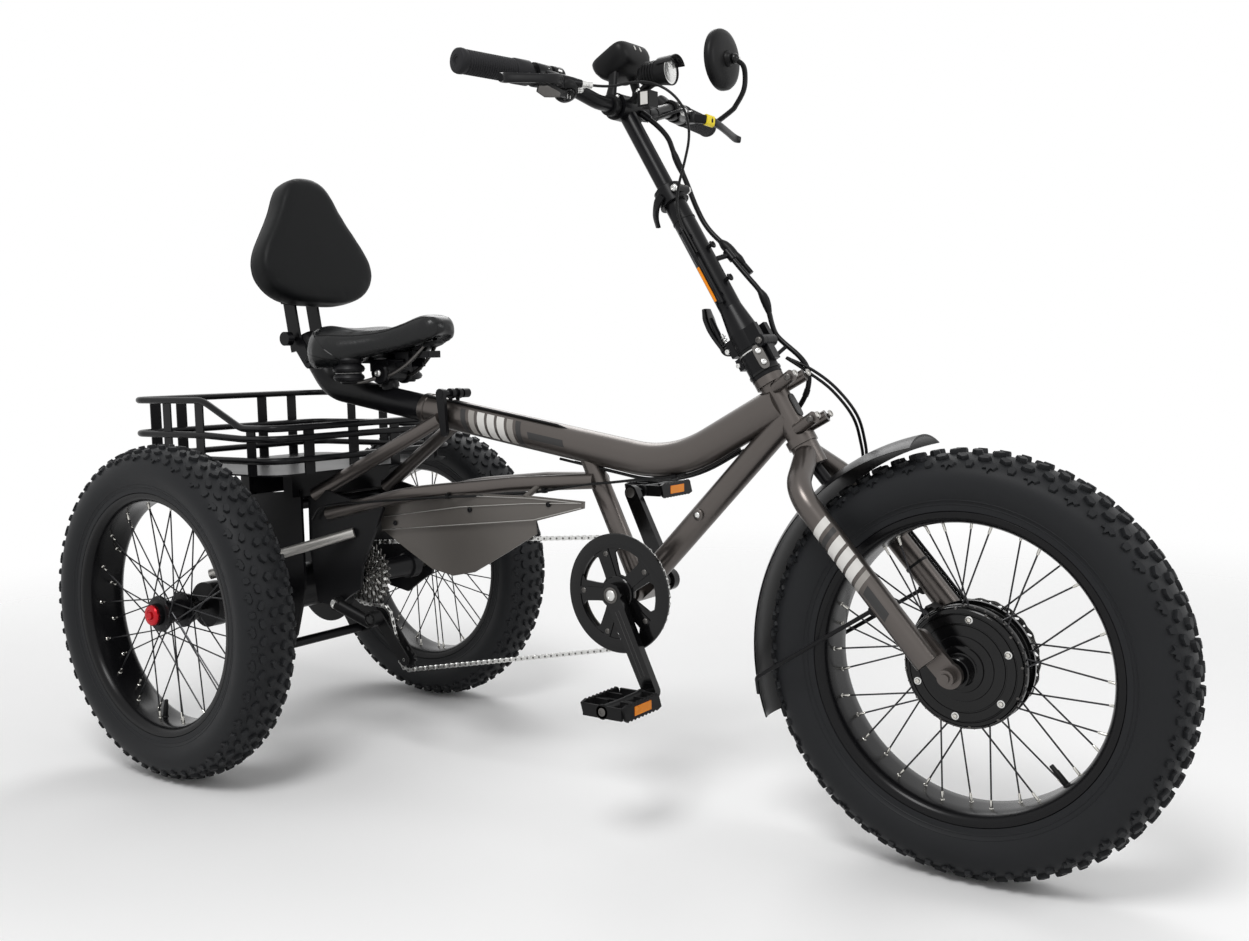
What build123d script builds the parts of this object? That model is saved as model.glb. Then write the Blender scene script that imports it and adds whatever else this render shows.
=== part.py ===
from build123d import *
import os
from math import atan2, cos, degrees, hypot, pi, radians, sin, tan

# Semi-recumbent fat-tyred electric trike.  Millimetres and degrees.
# +X is forward, +Y is the rider's left, +Z is up.  The origin is on the ground, midway between the axles.
# Places along the frame are given by their distance ahead of the rear axle.

# ---------------------------------------------------------------- driving dimensions
WHEELBASE = 1294.0
TRACK = 642.0

# wheels
TYRE_R = 290.0            # to the tips of the tread lugs
TYRE_W = 100.0
BELLY_R = 246.0           # where the tyre is widest
LUGS = 31                 # tread lugs round each side, half a pitch apart
LUG_H = 6.5
LUG_INNER = 6.0           # from the middle of the tyre
LUG_OUTER = 38.0
SHOULDER_DROP = 9.5       # carcass at the outer end of a lug, below the crown
BEAD_R = 209.5            # lip of the rim
RIM_BED_R = 200.0
RIM_INNER_R = 193.0
RIM_W = 80.0
RIM_WALL = 3.0
SPOKES = 36
SPOKE_R = 1.2
SEAT_GAP = 0.3            # between pieces that rest on each other

# front hub motor and brake
MOTOR_R = 82.0
MOTOR_W = 56.0
MOTOR_FLANGE_R = 87.0
MOTOR_COLLAR_R = 21.0
FRONT_AXLE_R = 6.0
FRONT_DISC_R = 82.0
DISC_T = 2.0
FRONT_DISC_Y = 42.0

# rear hubs and axle
REAR_HUB_R = 19.0
REAR_FLANGE_R = 31.0
REAR_HUB_OUT = 34.0       # from the middle of the tyre to the outer end of the hub
REAR_HUB_IN = 44.0
HUB_CAP_R = 17.0
HALF_SHAFT_R = 8.5
RUNNING = 0.06            # radial clearance of a shaft in its bore

# steering
HEAD_TILT = 30.5          # steering axis from upright
RAKE = 63.0
FORK_RISE = 371.0         # from the axle's foot on the axis up to the head tube
HEAD_LEN = 112.0
HEAD_R = 18.5
STEERER_R = 14.3
CROWN_R = 20.0
CROWN_DROP = 34.0
FORK_LEG_R = 17.0
FORK_HALF = 86.0          # from the middle plane to the middle of a leg
FORK_SLOT = 67.5
DROPOUT_T = 9.0
LEG_TOP_DROP = 64.0       # bend of a leg, below the head tube
LEG_TOP_BACK = 1.0
LEG_FOOT_BACK = 24.0      # lower end of a leg, behind and above the axle
LEG_FOOT_UP = 16.0

# front fender
FENDER_R = 313.0
FENDER_EDGE_R = 298.0
FENDER_HALF = 54.0
FENDER_T = 3.0
FENDER_START = 102.0      # upper end, from straight ahead over the top
FENDER_END = 200.0
FENDER_WIRE_R = 3.0
FENDER_CLAMP = 0.71       # share of the leg's length, from the shoulder, where the fender's wire is held

# frame tubes
MAIN_R = 26.5
MAIN_TILT = 9.5           # fall of the rear length of the main tube towards the front
NECK_TILT = 27.9          # rise of its front length to the head tube
NECK_UP = 70.0            # meeting point above the foot of the head tube
MAIN_BEND = 220.0
COLLAR_X = 318.0          # rear end of the main tube
COLLAR_Z = 626.0
DOWN_R = 19.0
DOWN_UP = 46.0
STRUT_R = 16.0
STRUT_TILT = 25.3
BB_X = 765.0
BB_Z = 348.0
BB_R = 21.0
BB_BORE = 12.0
SPIDER_R = 14.0
BB_HALF = 36.0
STAY_R = 12.5
SEAT_STAY_R = 12.5
STAY_HALF = 90.0          # from the middle plane to the dropouts
PLATE_T = 6.0

# driveline
RING_R = 86.0             # pitch line of the chain on the chainring
RING_Y = -56.0
GUARD_R = 93.0
GUARD_GAP = 5.5          # from the chain's middle to the inner face of the guard
GUARD_T = 4.5
ARM_ROOT = 36.0           # angle of the first spider arm
CASSETTE_X = 205.0
CASSETTE_Z = 333.0
CASSETTE_R = 56.0
CHAIN_W = 7.0
CHAIN_H = 8.5
GUARD_SHEET_Y = -72.0
GUIDE_X = 240.0
GUIDE_Z = 257.0
TENSION_X = 300.0
TENSION_Z = 188.0
PULLEY_R = 20.0
CRANK_LEN = 157.0
CRANK_ANGLE = 29.0        # right crank ahead of straight down
CRANK_Y = 76.0
CRANK_SPLAY = 14.0        # how much further out the arm is at the pedal
CRANK_T = 15.0
PEDAL_AXLE_R = 6.0
PEDAL_Y = 168.0
PEDAL_L = 76.0
PEDAL_W = 96.0
PEDAL_T = 26.0

# axle carrier
CARRIER_HALF = 100.0
BLOCK_INSET = 83.0        # from the middle of a tyre to its bearing block
BLOCK_Y = TRACK / 2 - BLOCK_INSET
BEARER_H = 48.0           # bearers between the side plates and the basket

# seat
BEAM_R = 24.0
BEAM_END_X = 76.0
BEAM_TOP_X = 5.0
BEAM_TOP_Z = 758.0
SADDLE_BASE_Z = 716.0
SADDLE_REAR_X = 108.0
SADDLE_LEN = 262.0
SADDLE_W = 250.0
SADDLE_RAIL_R = 3.5
CLAMP_ALONG = 57.0        # seat clamp, from the rear end of the main tube
KNOB_DOWN = 0.0           # backrest knob below the top of the beam
PAD_W = 266.0
PAD_H = 242.0
PAD_T = 58.0
PAD_LEAN = 10.4
PAD_X = 71.0
PAD_Z = 823.0

# basket
BASKET_REAR_X = -240.0
BASKET_FRONT_X = 168.0
BASKET_HALF = 222.0
BASKET_TOP_Z = 650.0
BASKET_DIP_Z = 601.0
BASKET_MID_DROP = 62.0
BASKET_LOW_Z = 545.0
BASKET_FLOOR_Z = 520.0
BASKET_TUBE_R = 6.0
FLOOR_T = 3.0
BASKET_CORNER = 45.0

# folding stem and handlebar
BASE_R = 23.0
HINGE_RISE = 48.0         # folding axis, above the head tube
HINGE_UP = FORK_RISE + HEAD_LEN + HINGE_RISE
HINGE_AHEAD = 25.0
STEM_R = 17.0
STEM_LEN = 281.0
STEM_TOP = HINGE_UP + STEM_LEN
POST_R = 13.0
POST_OUT = 150.0
BAR_UP = STEM_TOP + POST_OUT
BAR_R = 11.1
BAR_HALF = 320.0
BAR_SWEEP = 46.0
BAR_RISE = 22.0
GRIP_R = 16.5
DISPLAY_UP = 64.0         # middle of the display above the handlebar clamp
DISPLAY_LEAN = 28.0
GRIP_LEN = 120.0

# mirror
MIRROR_AT = (36.5, -2.0, 110.1)       # middle of the glass from the end of the handlebar
MIRROR_ELBOW = (44.2, 12.2, 29.1)     # first bend of its arm from its plug
MIRROR_TURN = (26.0, 0.0, 38.0)       # second bend from the first
MIRROR_R = 52.0
MIRROR_T = 18.0

# cables; a guide on the stem leaves room round the one that slides in it
LOOM_D = 8.0
CABLE_D = 4.0
GLAND_R = 6.0
HOLDER_UP = 10.0          # holder of the gland on the stem, above the end of its cable
GUIDE_R = 9.0             # open to the front, so that its cable can slide in
GUIDE_BORE = 7.5
GUIDE_LOW = 79.0          # lower end of the guide above the hinge
GUIDE_LEN = 125.0
# routes: height from BAR_UP for the two on the bars and from HINGE_UP for the others, then
# ahead of the steering axis and to the left of it
BAR_LOOM = [
    (-30, 18, 24), (-59, 27, 37), (-94, 17, 43), (-136, 13, 46), (-179, 6, 47), (-218, 5, 47),
    (-256, 16, 49), (-289, 27, 51), (-317, 31, 55),
]
RIGHT_CABLE = [
    (0, 24, -135), (-13, 40, -101), (-14, 62, -70), (-24, 82, -46), (-54, 98, -36), (-88, 100, -30),
    (-120, 86, -27), (-147, 58, -27), (-170, 31, -28), (-194, 13, -28.5), (-218, 7, -28.2),
    (-244, 7.6, -28.1), (-270, 7.4, -28),
]
STEM_LOOM = [
    (141, 25, 34), (111, 31, 34), (75, 39, 36), (53, 36, 39), (35, 30, 40),
]
BASE_LOOM = [
    (35, 30, 40), (17, 24, 41), (0, 26, 42), (-20, 34, 43),
]
FRAME_LOOM = [
    (-20, 34, 43), (-40, 42, 44), (-63, 41, 47), (-85, 25, 49), (-100, -2, 49), (-109, -34, 47),
    (-119, -66, 43), (-131, -98, 37),
]
PORT_ALONG = 125.3        # where the frame loom enters, down the down tube from its top
PORT_RISE = 4.0           # above the middle of that tube
PORT_SIDE = 27.0

# ---------------------------------------------------------------- reference places
BASE = (Align.CENTER, Align.CENTER, Align.MIN)
tilt = radians(HEAD_TILT)
UP = Vector(-sin(tilt), 0, cos(tilt))
AHEAD = Vector(cos(tilt), 0, sin(tilt))
FRONT_HUB = Vector(WHEELBASE / 2, 0, TYRE_R)
FOOT = FRONT_HUB - AHEAD * RAKE
HEAD_LOW = FORK_RISE
HEAD_TOP = FORK_RISE + HEAD_LEN
STEER = Plane(origin=FOOT, x_dir=AHEAD, z_dir=UP)


def at(x, y, z):
    """Point from its distance ahead of the rear axle, to the left and above the ground."""
    return Vector(x - WHEELBASE / 2, y, z)


def on_axis(up, ahead=0.0, side=0.0):
    """Point beside the steering axis, at a height along it above its foot."""
    return FOOT + UP * up + AHEAD * ahead + Vector(0, side, 0)


def crossing(a, slope_a, b, slope_b):
    """Where two lines in the middle plane meet, each from a point and its rise towards the front."""
    x = (b.Z - a.Z + slope_a * a.X - slope_b * b.X) / (slope_a - slope_b)
    return Vector(x, 0, a.Z + slope_a * (x - a.X))


def slope(angle):
    return sin(radians(angle)) / cos(radians(angle))


COLLAR = at(COLLAR_X, 0, COLLAR_Z)
NECK = on_axis(HEAD_LOW + NECK_UP)
BEND = crossing(COLLAR, -slope(MAIN_TILT), NECK, slope(NECK_TILT))
MAIN_DIR = (BEND - COLLAR).normalized()
BB = at(BB_X, 0, BB_Z)
DOWN_TOP = on_axis(HEAD_LOW + DOWN_UP)
DOWN_WAY = (BB - DOWN_TOP).normalized()
DOWN_RISE = Vector(DOWN_WAY.Z, 0, -DOWN_WAY.X)
STRUT_TOP = crossing(BB, -slope(90 - STRUT_TILT), COLLAR, -slope(MAIN_TILT))
STRUT_DIR = (STRUT_TOP - BB).normalized()
CASSETTE = at(CASSETTE_X, 0, CASSETTE_Z)
BEAM_CORNER = COLLAR - MAIN_DIR * ((COLLAR_X - BEAM_END_X) / cos(radians(MAIN_TILT)))
BEAM_TOP = at(BEAM_TOP_X, 0, BEAM_TOP_Z)
BEAM_RISE = (BEAM_TOP - BEAM_CORNER).normalized()


# ---------------------------------------------------------------- ways of making shapes
def rod(a, b, radius, bore=0.0):
    """Straight round bar from a to b, drilled through where it has a bore."""
    a = Vector(a)
    b = Vector(b)
    length = (b - a).length
    bar = Cylinder(radius, length, align=BASE)
    if bore:
        bar -= Cylinder(bore, length, align=BASE)
    return Plane(origin=a, z_dir=b - a) * bar


def cone_rod(a, b, radius_a, radius_b):
    """Round bar that tapers from a to b."""
    a = Vector(a)
    b = Vector(b)
    return Plane(origin=a, z_dir=b - a) * Cone(radius_a, radius_b, (b - a).length, align=BASE)


def bent(points, radii, radius, bore=0.0):
    """Round bar along straight runs joined by arcs."""
    path = FilletPolyline(*points, radius=radii)
    start = Plane(origin=path @ 0, z_dir=path % 0)
    bar = sweep(start * Circle(radius), path=path)
    if bore:
        bar -= sweep(start * Circle(bore), path=path)
    return bar


def side_plate(points, y_low, y_high):
    """Flat plate with an outline of (distance ahead, height) points, between two distances to the left."""
    outline = [at(x, y_low, z) for x, z in points]
    return extrude(make_face(Polyline(*outline, close=True)), amount=y_high - y_low, dir=(0, 1, 0))


def disc(centre, radius, y_low, y_high, bore=0.0):
    """Disc across the trike, centred beside a point in the middle plane."""
    low = Vector(centre.X, y_low, centre.Z)
    high = Vector(centre.X, y_high, centre.Z)
    return rod(low, high, radius, bore)


def ring(points):
    """Solid turned about the Y axis from (radius, side) points."""
    return revolve(make_face(Polyline(*points, close=True)), axis=Axis.Y)


def polar(radius, angle, side):
    """Point on a wheel whose axle is the Y axis."""
    return Vector(radius * cos(radians(angle)), side, radius * sin(radians(angle)))


def link(a, b, radius_a, radius_b, thick):
    """Flat bar with round ends across the Y axis, centred on the line from a to b."""
    run = b - a
    span = hypot(run.X, run.Z)
    outline = make_hull((Circle(radius_a) + Pos(span, 0) * Circle(radius_b)).edges())
    bar = extrude(outline, amount=thick / 2, both=True)
    shear = degrees(atan2(run.Y, span))
    turn = degrees(atan2(run.Z, run.X))
    return Pos(a) * Rot(0, -turn, 0) * Rot(0, 0, shear) * Rot(90, 0, 0) * bar


def above(base, route):
    """Points beside the steering axis, their heights counted from a base height."""
    return [on_axis(base + up, ahead, side) for up, ahead, side in route]


def cord(name, points, diameter):
    """Cable along straight runs joined by arcs, each as large as its shorter run allows."""
    radii = []
    for a, b, c in zip(points, points[1:], points[2:]):
        half_turn = radians((b - a).get_angle(c - b)) / 2
        radii.append(0.45 * min((b - a).length, (c - b).length) / tan(half_turn))
    print(name, "bends of radius", [round(radius) for radius in radii])
    return bent(points, radii, diameter / 2)


def gland(points, length):
    """Sleeve in line with a cable, from its first point away from its first run."""
    return rod(points[0], points[0] + (points[0] - points[1]).normalized() * length, GLAND_R)


def frame_route():
    """The loom on the frame, down to its port in the side of the down tube."""
    return above(HINGE_UP, FRAME_LOOM) + [DOWN_TOP + DOWN_WAY * PORT_ALONG + DOWN_RISE * PORT_RISE
                                          + Vector(0, PORT_SIDE, 0)]


# ---------------------------------------------------------------- wheels
def tyre():
    """Faceted carcass with a row of lugs along each side of the tread, half a pitch apart."""
    facets = 2 * LUGS
    step = 360 / facets
    seat = RIM_W / 2 - RIM_WALL - SEAT_GAP
    foot = (RIM_BED_R + SEAT_GAP) / cos(pi / facets)
    crown = TYRE_R - LUG_H
    right = [
        (foot, -seat),
        (BEAD_R + 1.5, -seat),
        (BELLY_R, -TYRE_W / 2),
        (crown - SHOULDER_DROP, -LUG_OUTER),
        (crown, -LUG_INNER),
    ]
    section = right + [(r, -y) for r, y in reversed(right)]
    rows = {section.index(right[3]): 0, section.index(right[4]) + 1: 1}
    faces = []

    def facet(*corners):
        faces.append(Face(Wire.make_polygon([polar(*corner) for corner in corners], close=True)))

    for i in range(facets):
        a = i * step - 90
        b = a + step
        for k, (r0, y0) in enumerate(section):
            r1, y1 = section[(k + 1) % len(section)]
            raised = rows.get(k) == i % 2
            top = LUG_H if raised else 0
            facet((r0 + top, a, y0), (r0 + top, b, y0), (r1 + top, b, y1), (r1 + top, a, y1))
            if raised:
                for r, y in ((r0, y0), (r1, y1)):
                    facet((r, a, y), (r, b, y), (r + top, b, y), (r + top, a, y))
                for c in (a, b):
                    facet((r0, c, y0), (r1, c, y1), (r1 + top, c, y1), (r0 + top, c, y0))
    return Solid(Shell(faces))


def rim(flange_r, flange_y, lace, hub_shift=0.0):
    """Rim with its spokes, laced to hub flanges either side of the middle."""
    half = RIM_W / 2
    web = RIM_W / 2 - 6
    section = [
        (RIM_INNER_R, -web),
        (RIM_INNER_R, web),
        (RIM_BED_R, half),
        (BEAD_R, half),
        (BEAD_R, half - RIM_WALL),
        (RIM_BED_R, half - RIM_WALL),
        (RIM_BED_R, -half + RIM_WALL),
        (BEAD_R, -half + RIM_WALL),
        (BEAD_R, -half),
        (RIM_BED_R, -half),
    ]
    spokes = []
    step = 360 / SPOKES
    for i in range(SPOKES):
        side = 1 if i % 2 else -1
        lean = 1 if i % 4 < 2 else -1
        foot = polar(flange_r - 1, i * step + lean * lace, hub_shift + side * flange_y + lean * 2)
        tip = polar(RIM_INNER_R + 2, i * step, side * 10)
        spokes.append(rod(foot, tip, SPOKE_R))
    wheel = ring(section).fuse(*spokes)
    bore = Pos(0, hub_shift, 0) * Rot(90, 0, 0) * Cylinder(flange_r + SEAT_GAP, 2 * flange_y + 30)
    return wheel - bore


def hub_motor():
    half = MOTOR_W / 2
    collar = FORK_SLOT - 6
    section = [
        (FRONT_AXLE_R + RUNNING, -collar),
        (MOTOR_COLLAR_R, -collar),
        (MOTOR_COLLAR_R, -half - 4),
        (MOTOR_R - 14, -half),
        (MOTOR_R, -half + 6),
        (MOTOR_FLANGE_R, -half + 8),
        (MOTOR_FLANGE_R, half - 8),
        (MOTOR_R, half - 6),
        (MOTOR_R - 14, half),
        (MOTOR_COLLAR_R, half + 4),
        (MOTOR_COLLAR_R, collar),
        (FRONT_AXLE_R + RUNNING, collar),
    ]
    return ring(section)


def brake_disc(radius, side, bore):
    """Vented brake disc on its five-armed carrier."""
    band = 16
    outer = disc(Vector(0, 0, 0), radius, side, side + DISC_T, radius - band)
    middle = side + DISC_T / 2
    arms = [rod(polar(bore + 3, 72 * i, middle), polar(radius - band + 2, 72 * i + 24, middle),
                3.5) for i in range(5)]
    carrier = disc(Vector(0, 0, 0), bore + 9, side, side + DISC_T, bore)
    slab = Pos(0, side + DISC_T / 2, 0) * Box(2 * radius, DISC_T, 2 * radius)
    hole = disc(Vector(0, 0, 0), bore, side - 1, side + 9)
    return outer.fuse(carrier, *[arm & slab for arm in arms]) - hole


def rear_hub(out):
    """Hub of a rear wheel; out is the side away from the frame, as +1 or -1."""
    shaft_end = TRACK / 2 - CARRIER_HALF - 20
    flange = REAR_HUB_OUT - 12
    section = [
        (0, REAR_HUB_OUT + 6),
        (HUB_CAP_R - 3, REAR_HUB_OUT + 6),
        (HUB_CAP_R, REAR_HUB_OUT),
        (REAR_HUB_R, REAR_HUB_OUT),
        (REAR_HUB_R, flange + 4),
        (REAR_FLANGE_R, flange + 2),
        (REAR_FLANGE_R, flange - 2),
        (REAR_HUB_R, flange - 4),
        (REAR_HUB_R, -flange + 4),
        (REAR_FLANGE_R, -flange + 2),
        (REAR_FLANGE_R, -flange - 2),
        (REAR_HUB_R + 4, -flange - 4),
        (REAR_HUB_R + 4, -REAR_HUB_IN),
        (HALF_SHAFT_R, -REAR_HUB_IN),
        (HALF_SHAFT_R, -shaft_end),
        (0, -shaft_end),
    ]
    return ring([(r, out * y) for r, y in section])


def put_wheel(shape, x, y):
    return Pos(x - WHEELBASE / 2, y, TYRE_R) * shape


# ---------------------------------------------------------------- frame
def head_tube():
    bore = STEERER_R + RUNNING
    tube = rod(on_axis(HEAD_LOW), on_axis(HEAD_TOP), HEAD_R)
    for low, high, extra in ((HEAD_LOW, HEAD_LOW + 12, 4.0), (HEAD_TOP - 12, HEAD_TOP, 4.0)):
        tube += rod(on_axis(low), on_axis(high), HEAD_R + extra)
    for up in (HEAD_LOW + 22, HEAD_TOP - 22):
        for side in (-1, 1):
            tube += rod(on_axis(up, 8, side * 12), on_axis(up, 44, side * 20), 9)
    return tube - rod(on_axis(HEAD_LOW - 1), on_axis(HEAD_TOP + 1), bore)


def main_tube():
    inside = COLLAR + MAIN_DIR * 190
    tube = bent([COLLAR, BEND, NECK], MAIN_BEND, MAIN_R)
    tube -= rod(COLLAR - MAIN_DIR, inside, BEAM_R + RUNNING)
    return tube - rod(on_axis(HEAD_LOW - 20), on_axis(HEAD_TOP + 20), HEAD_R)


def bottom_bracket():
    shell = disc(BB, BB_R, -BB_HALF, BB_HALF)
    lug = side_plate([(BB_X - 16, BB_Z + 12), (BB_X + 26, BB_Z + 26), (BB_X + 40, BB_Z + 6),
                      (BB_X + 14, BB_Z - 16)],
                     -20, 20)
    return (shell + lug) - disc(BB, BB_BORE, -BB_HALF - 1, BB_HALF + 1)


def stay_line(side):
    """Route of a chain stay, from the seat strut back to the dropout."""
    start = BB + STRUT_DIR * 183
    return [
        Vector(start.X, side * 13, start.Z),
        at(545, side * 46, 506),
        at(350, side * (STAY_HALF - 4), 486),
        at(150, side * STAY_HALF, 442),
    ]


def chain_stays():
    stays = [bent(stay_line(side), [260, 420], STAY_R) for side in (-1, 1)]
    return stays[0] + stays[1]


def seat_stays():
    """The two stays down from the rear end of the main tube to the dropouts."""
    stays = []
    for side in (-1, 1):
        top = COLLAR + MAIN_DIR * 52 + Vector(0, side * 27, -8)
        stays.append(rod(top, at(112, side * (STAY_HALF - 1), 474), SEAT_STAY_R))
    return stays[0] + stays[1]


def dropouts():
    """Plates at the ends of the stays that hold the layshaft of the cassette."""
    outline = [
        (98, 468), (128, 488), (210, 470), (292, 478), (290, 460), (232, 352),
        (225, 312), (196, 296), (160, 272), (112, 280), (96, 380),
    ]
    plates = []
    for side in (-1, 1):
        inner = STAY_HALF - PLATE_T / 2
        outer = STAY_HALF + PLATE_T / 2
        low, high = (inner, outer) if side > 0 else (-outer, -inner)
        plates.append(side_plate(outline, low, high))
    return plates[0] + plates[1]


def axle_carrier():
    """Side plates, crossbars, axle tubes and bearing blocks that carry the rear wheels."""
    outline = [(-62, 470), (92, 482), (92, 300), (64, 214), (30, 174), (-14, 174), (-46, 214), (-62, 300)]
    axle = at(0, 0, TYRE_R)
    body = None
    for side in (-1, 1):
        inner = CARRIER_HALF + SEAT_GAP
        outer = CARRIER_HALF + SEAT_GAP + 5
        low, high = (inner, outer) if side > 0 else (-outer, -inner)
        plate = side_plate(outline, low, high)
        tube_low, tube_high = sorted((side * outer, side * BLOCK_Y))
        plate += disc(axle, 25, tube_low, tube_high)
        block_low, block_high = sorted((side * (BLOCK_Y - 12), side * (BLOCK_Y + 14)))
        plate += disc(axle, 40, block_low, block_high)
        body = plate if body is None else body + plate
    for x, z in ((-45, 455), (75, 455), (8, 184)):
        body += rod(at(x, -CARRIER_HALF - 1, z), at(x, CARRIER_HALF + 1, z), 9)
    top = BASKET_FLOOR_Z - FLOOR_T / 2
    for x in (-44, 76):
        body += Pos(at(x, 0, top - BEARER_H)) * Box(24, 2 * CARRIER_HALF + 40, BEARER_H, align=BASE)
    return body - disc(axle, HALF_SHAFT_R + RUNNING, -BLOCK_Y - 20, BLOCK_Y + 20)


def axle_unit():
    """Differential between the side plates, with the rear brake disc on it."""
    axle = at(0, 0, TYRE_R)
    body = disc(axle, 42, -62, 10)
    body += disc(axle, 24, -CARRIER_HALF, CARRIER_HALF)
    body += disc(axle, 80, 26, 28)
    return body - disc(axle, HALF_SHAFT_R + RUNNING, -CARRIER_HALF - 1, CARRIER_HALF + 1)


def axle_braces():
    """Struts from the dropouts out to the bearing blocks."""
    braces = None
    for side in (-1, 1):
        outer = side * (STAY_HALF + PLATE_T / 2)
        strut = rod(at(216, outer, 412), at(0, side * BLOCK_Y, TYRE_R + 52), 9)
        strut -= side_plate([(180, 380), (250, 380), (250, 440), (180, 440)], *sorted((0, outer)))
        braces = strut if braces is None else braces + strut
    return braces


# ---------------------------------------------------------------- driveline
def tangent_run(a, turn_a, ra, b, turn_b, rb):
    """Ends of the run between two wheels that a band goes round, each turned left (+1) or right (-1)."""
    dx = b[0] - a[0]
    dz = b[1] - a[1]
    span = hypot(dx, dz)
    lean = (turn_a * ra - turn_b * rb) / span
    rise = (1 - lean * lean) ** 0.5
    ux, uz = dx / span, dz / span
    nx = ux * lean + uz * rise
    nz = uz * lean - ux * rise
    start = (a[0] + turn_a * ra * nx, a[1] + turn_a * ra * nz)
    end = (b[0] + turn_b * rb * nx, b[1] + turn_b * rb * nz)
    return start, end


def band_face(wheels, offset, y):
    """Face inside a band round wheels of (x, z, radius, turn), moved outwards by an offset."""
    runs = []
    count = len(wheels)
    for i in range(count):
        ax, az, ra, ta = wheels[i]
        bx, bz, rb, tb = wheels[(i + 1) % count]
        runs.append(tangent_run((ax, az), ta, ra + ta * offset, (bx, bz), tb, rb + tb * offset))
    edges = []
    for i in range(count):
        start, end = runs[i]
        edges.append(Line(at(start[0], y, start[1]), at(end[0], y, end[1])))
        x, z, r, turn = wheels[(i + 1) % count]
        radius = r + turn * offset
        leave = runs[(i + 1) % count][0]
        a0 = atan2(end[1] - z, end[0] - x)
        a1 = atan2(leave[1] - z, leave[0] - x)
        sweep_angle = degrees(a1 - a0) * turn % 360 * turn
        middle = a0 + radians(sweep_angle) / 2
        via = at(x + radius * cos(middle), y, z + radius * sin(middle))
        edges.append(ThreePointArc(at(end[0], y, end[1]), via, at(leave[0], y, leave[1])))
    return make_face(edges)


CHAIN_WHEELS = [
    # distance ahead, height, radius of the chain's middle, way round
    (BB_X, BB_Z, RING_R, 1),
    (CASSETTE_X, CASSETTE_Z, CASSETTE_R, 1),
    (GUIDE_X, GUIDE_Z, PULLEY_R, -1),
    (TENSION_X, TENSION_Z, PULLEY_R, 1),
]


def chain():
    y = RING_Y - CHAIN_W / 2
    outer = extrude(band_face(CHAIN_WHEELS, CHAIN_H / 2, y), amount=CHAIN_W, dir=(0, 1, 0))
    inner = extrude(band_face(CHAIN_WHEELS, -CHAIN_H / 2, y), amount=CHAIN_W, dir=(0, 1, 0))
    return outer - inner


def chainring():
    """Chainring on a five-armed spider, with the round guard outside it."""
    rim_ring = disc(BB, RING_R - CHAIN_H / 2 - 0.6, RING_Y - 1.5, RING_Y + 1.5, RING_R - 18)
    face = RING_Y - GUARD_GAP - GUARD_T
    guard = disc(BB, GUARD_R, face, RING_Y - GUARD_GAP, RING_R - 20)
    hub = disc(BB, 25, face, RING_Y + 4)
    depth = RING_Y + 1.5 - face
    arms = []
    for i in range(5):
        angle = 72 * i + ARM_ROOT
        centre = Vector(BB.X, face + depth / 2, BB.Z)
        reach = RING_R - 10
        arm = Pos(reach / 2, 0, 0) * Box(reach, depth, 22)
        arms.append(Pos(centre) * Rot(0, -angle, 0) * arm)
    whole = rim_ring.fuse(guard, hub, *arms)
    return whole - disc(BB, SPIDER_R, RING_Y - 40, RING_Y + 40)


def crank_end(side):
    angle = radians(CRANK_ANGLE)
    turn = 1 if side < 0 else -1
    return BB + Vector(turn * CRANK_LEN * sin(angle), 0, -turn * CRANK_LEN * cos(angle))


def crank_arms():
    """Axle of the bottom bracket with the two crank arms."""
    body = disc(BB, BB_BORE - RUNNING, -BB_HALF - 6, BB_HALF + 6)
    for side in (-1, 1):
        end = crank_end(side)
        low, high = sorted((side * (BB_HALF + 6), side * CRANK_Y))
        body += disc(BB, SPIDER_R - SEAT_GAP, low, high)
        low, high = sorted((side * (CRANK_Y - CRANK_T / 2), side * (CRANK_Y + CRANK_T / 2)))
        body += disc(BB, 18, low, high)
        root = Vector(BB.X, side * CRANK_Y, BB.Z)
        tip = Vector(end.X, side * (CRANK_Y + CRANK_SPLAY), end.Z)
        body += link(root, tip, 14, 12, CRANK_T - 2)
        low, high = sorted((side * (CRANK_Y + CRANK_SPLAY), side * (PEDAL_Y + PEDAL_W / 2 - 8)))
        body += disc(end, PEDAL_AXLE_R, low, high)
    return body


def pedal(side):
    """Platform pedal with an open cage and a reflector at each end."""
    end = crank_end(side)
    centre = Vector(end.X, side * PEDAL_Y, end.Z)
    cage = Box(PEDAL_L, PEDAL_W, PEDAL_T)
    for along in (-1, 1):
        for across in (-1, 1):
            window = Box(PEDAL_L * 0.32, PEDAL_W * 0.34, 40)
            cage -= Pos(along * PEDAL_L * 0.25, across * PEDAL_W * 0.24, 0) * window
    cage = Pos(centre) * cage
    inner = PEDAL_Y - PEDAL_W / 2 - 6
    low, high = sorted((side * inner, side * (PEDAL_Y + PEDAL_W / 2)))
    cage += disc(end, 11, low, high)
    low, high = sorted((side * (inner - 3), side * (PEDAL_Y + PEDAL_W / 2 - 8)))
    return cage - disc(end, PEDAL_AXLE_R + RUNNING, low, high)


def cassette():
    """Stack of sprockets on the layshaft between the dropouts."""
    body = disc(CASSETTE, 9, -STAY_HALF + PLATE_T / 2, STAY_HALF - PLATE_T / 2)
    count = 8
    pitch = 3.6
    biggest = CASSETTE_R - CHAIN_H / 2 - 0.6
    for i in range(count):
        y = RING_Y - i * pitch
        radius = biggest - i * 4.6
        body += disc(CASSETTE, radius, y - 1.2, y + 1.2)
    body += disc(CASSETTE, 17, RING_Y - (count - 1) * pitch, RING_Y + 10)
    body += disc(CASSETTE, 24, RING_Y + 10, 60)
    return body


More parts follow.
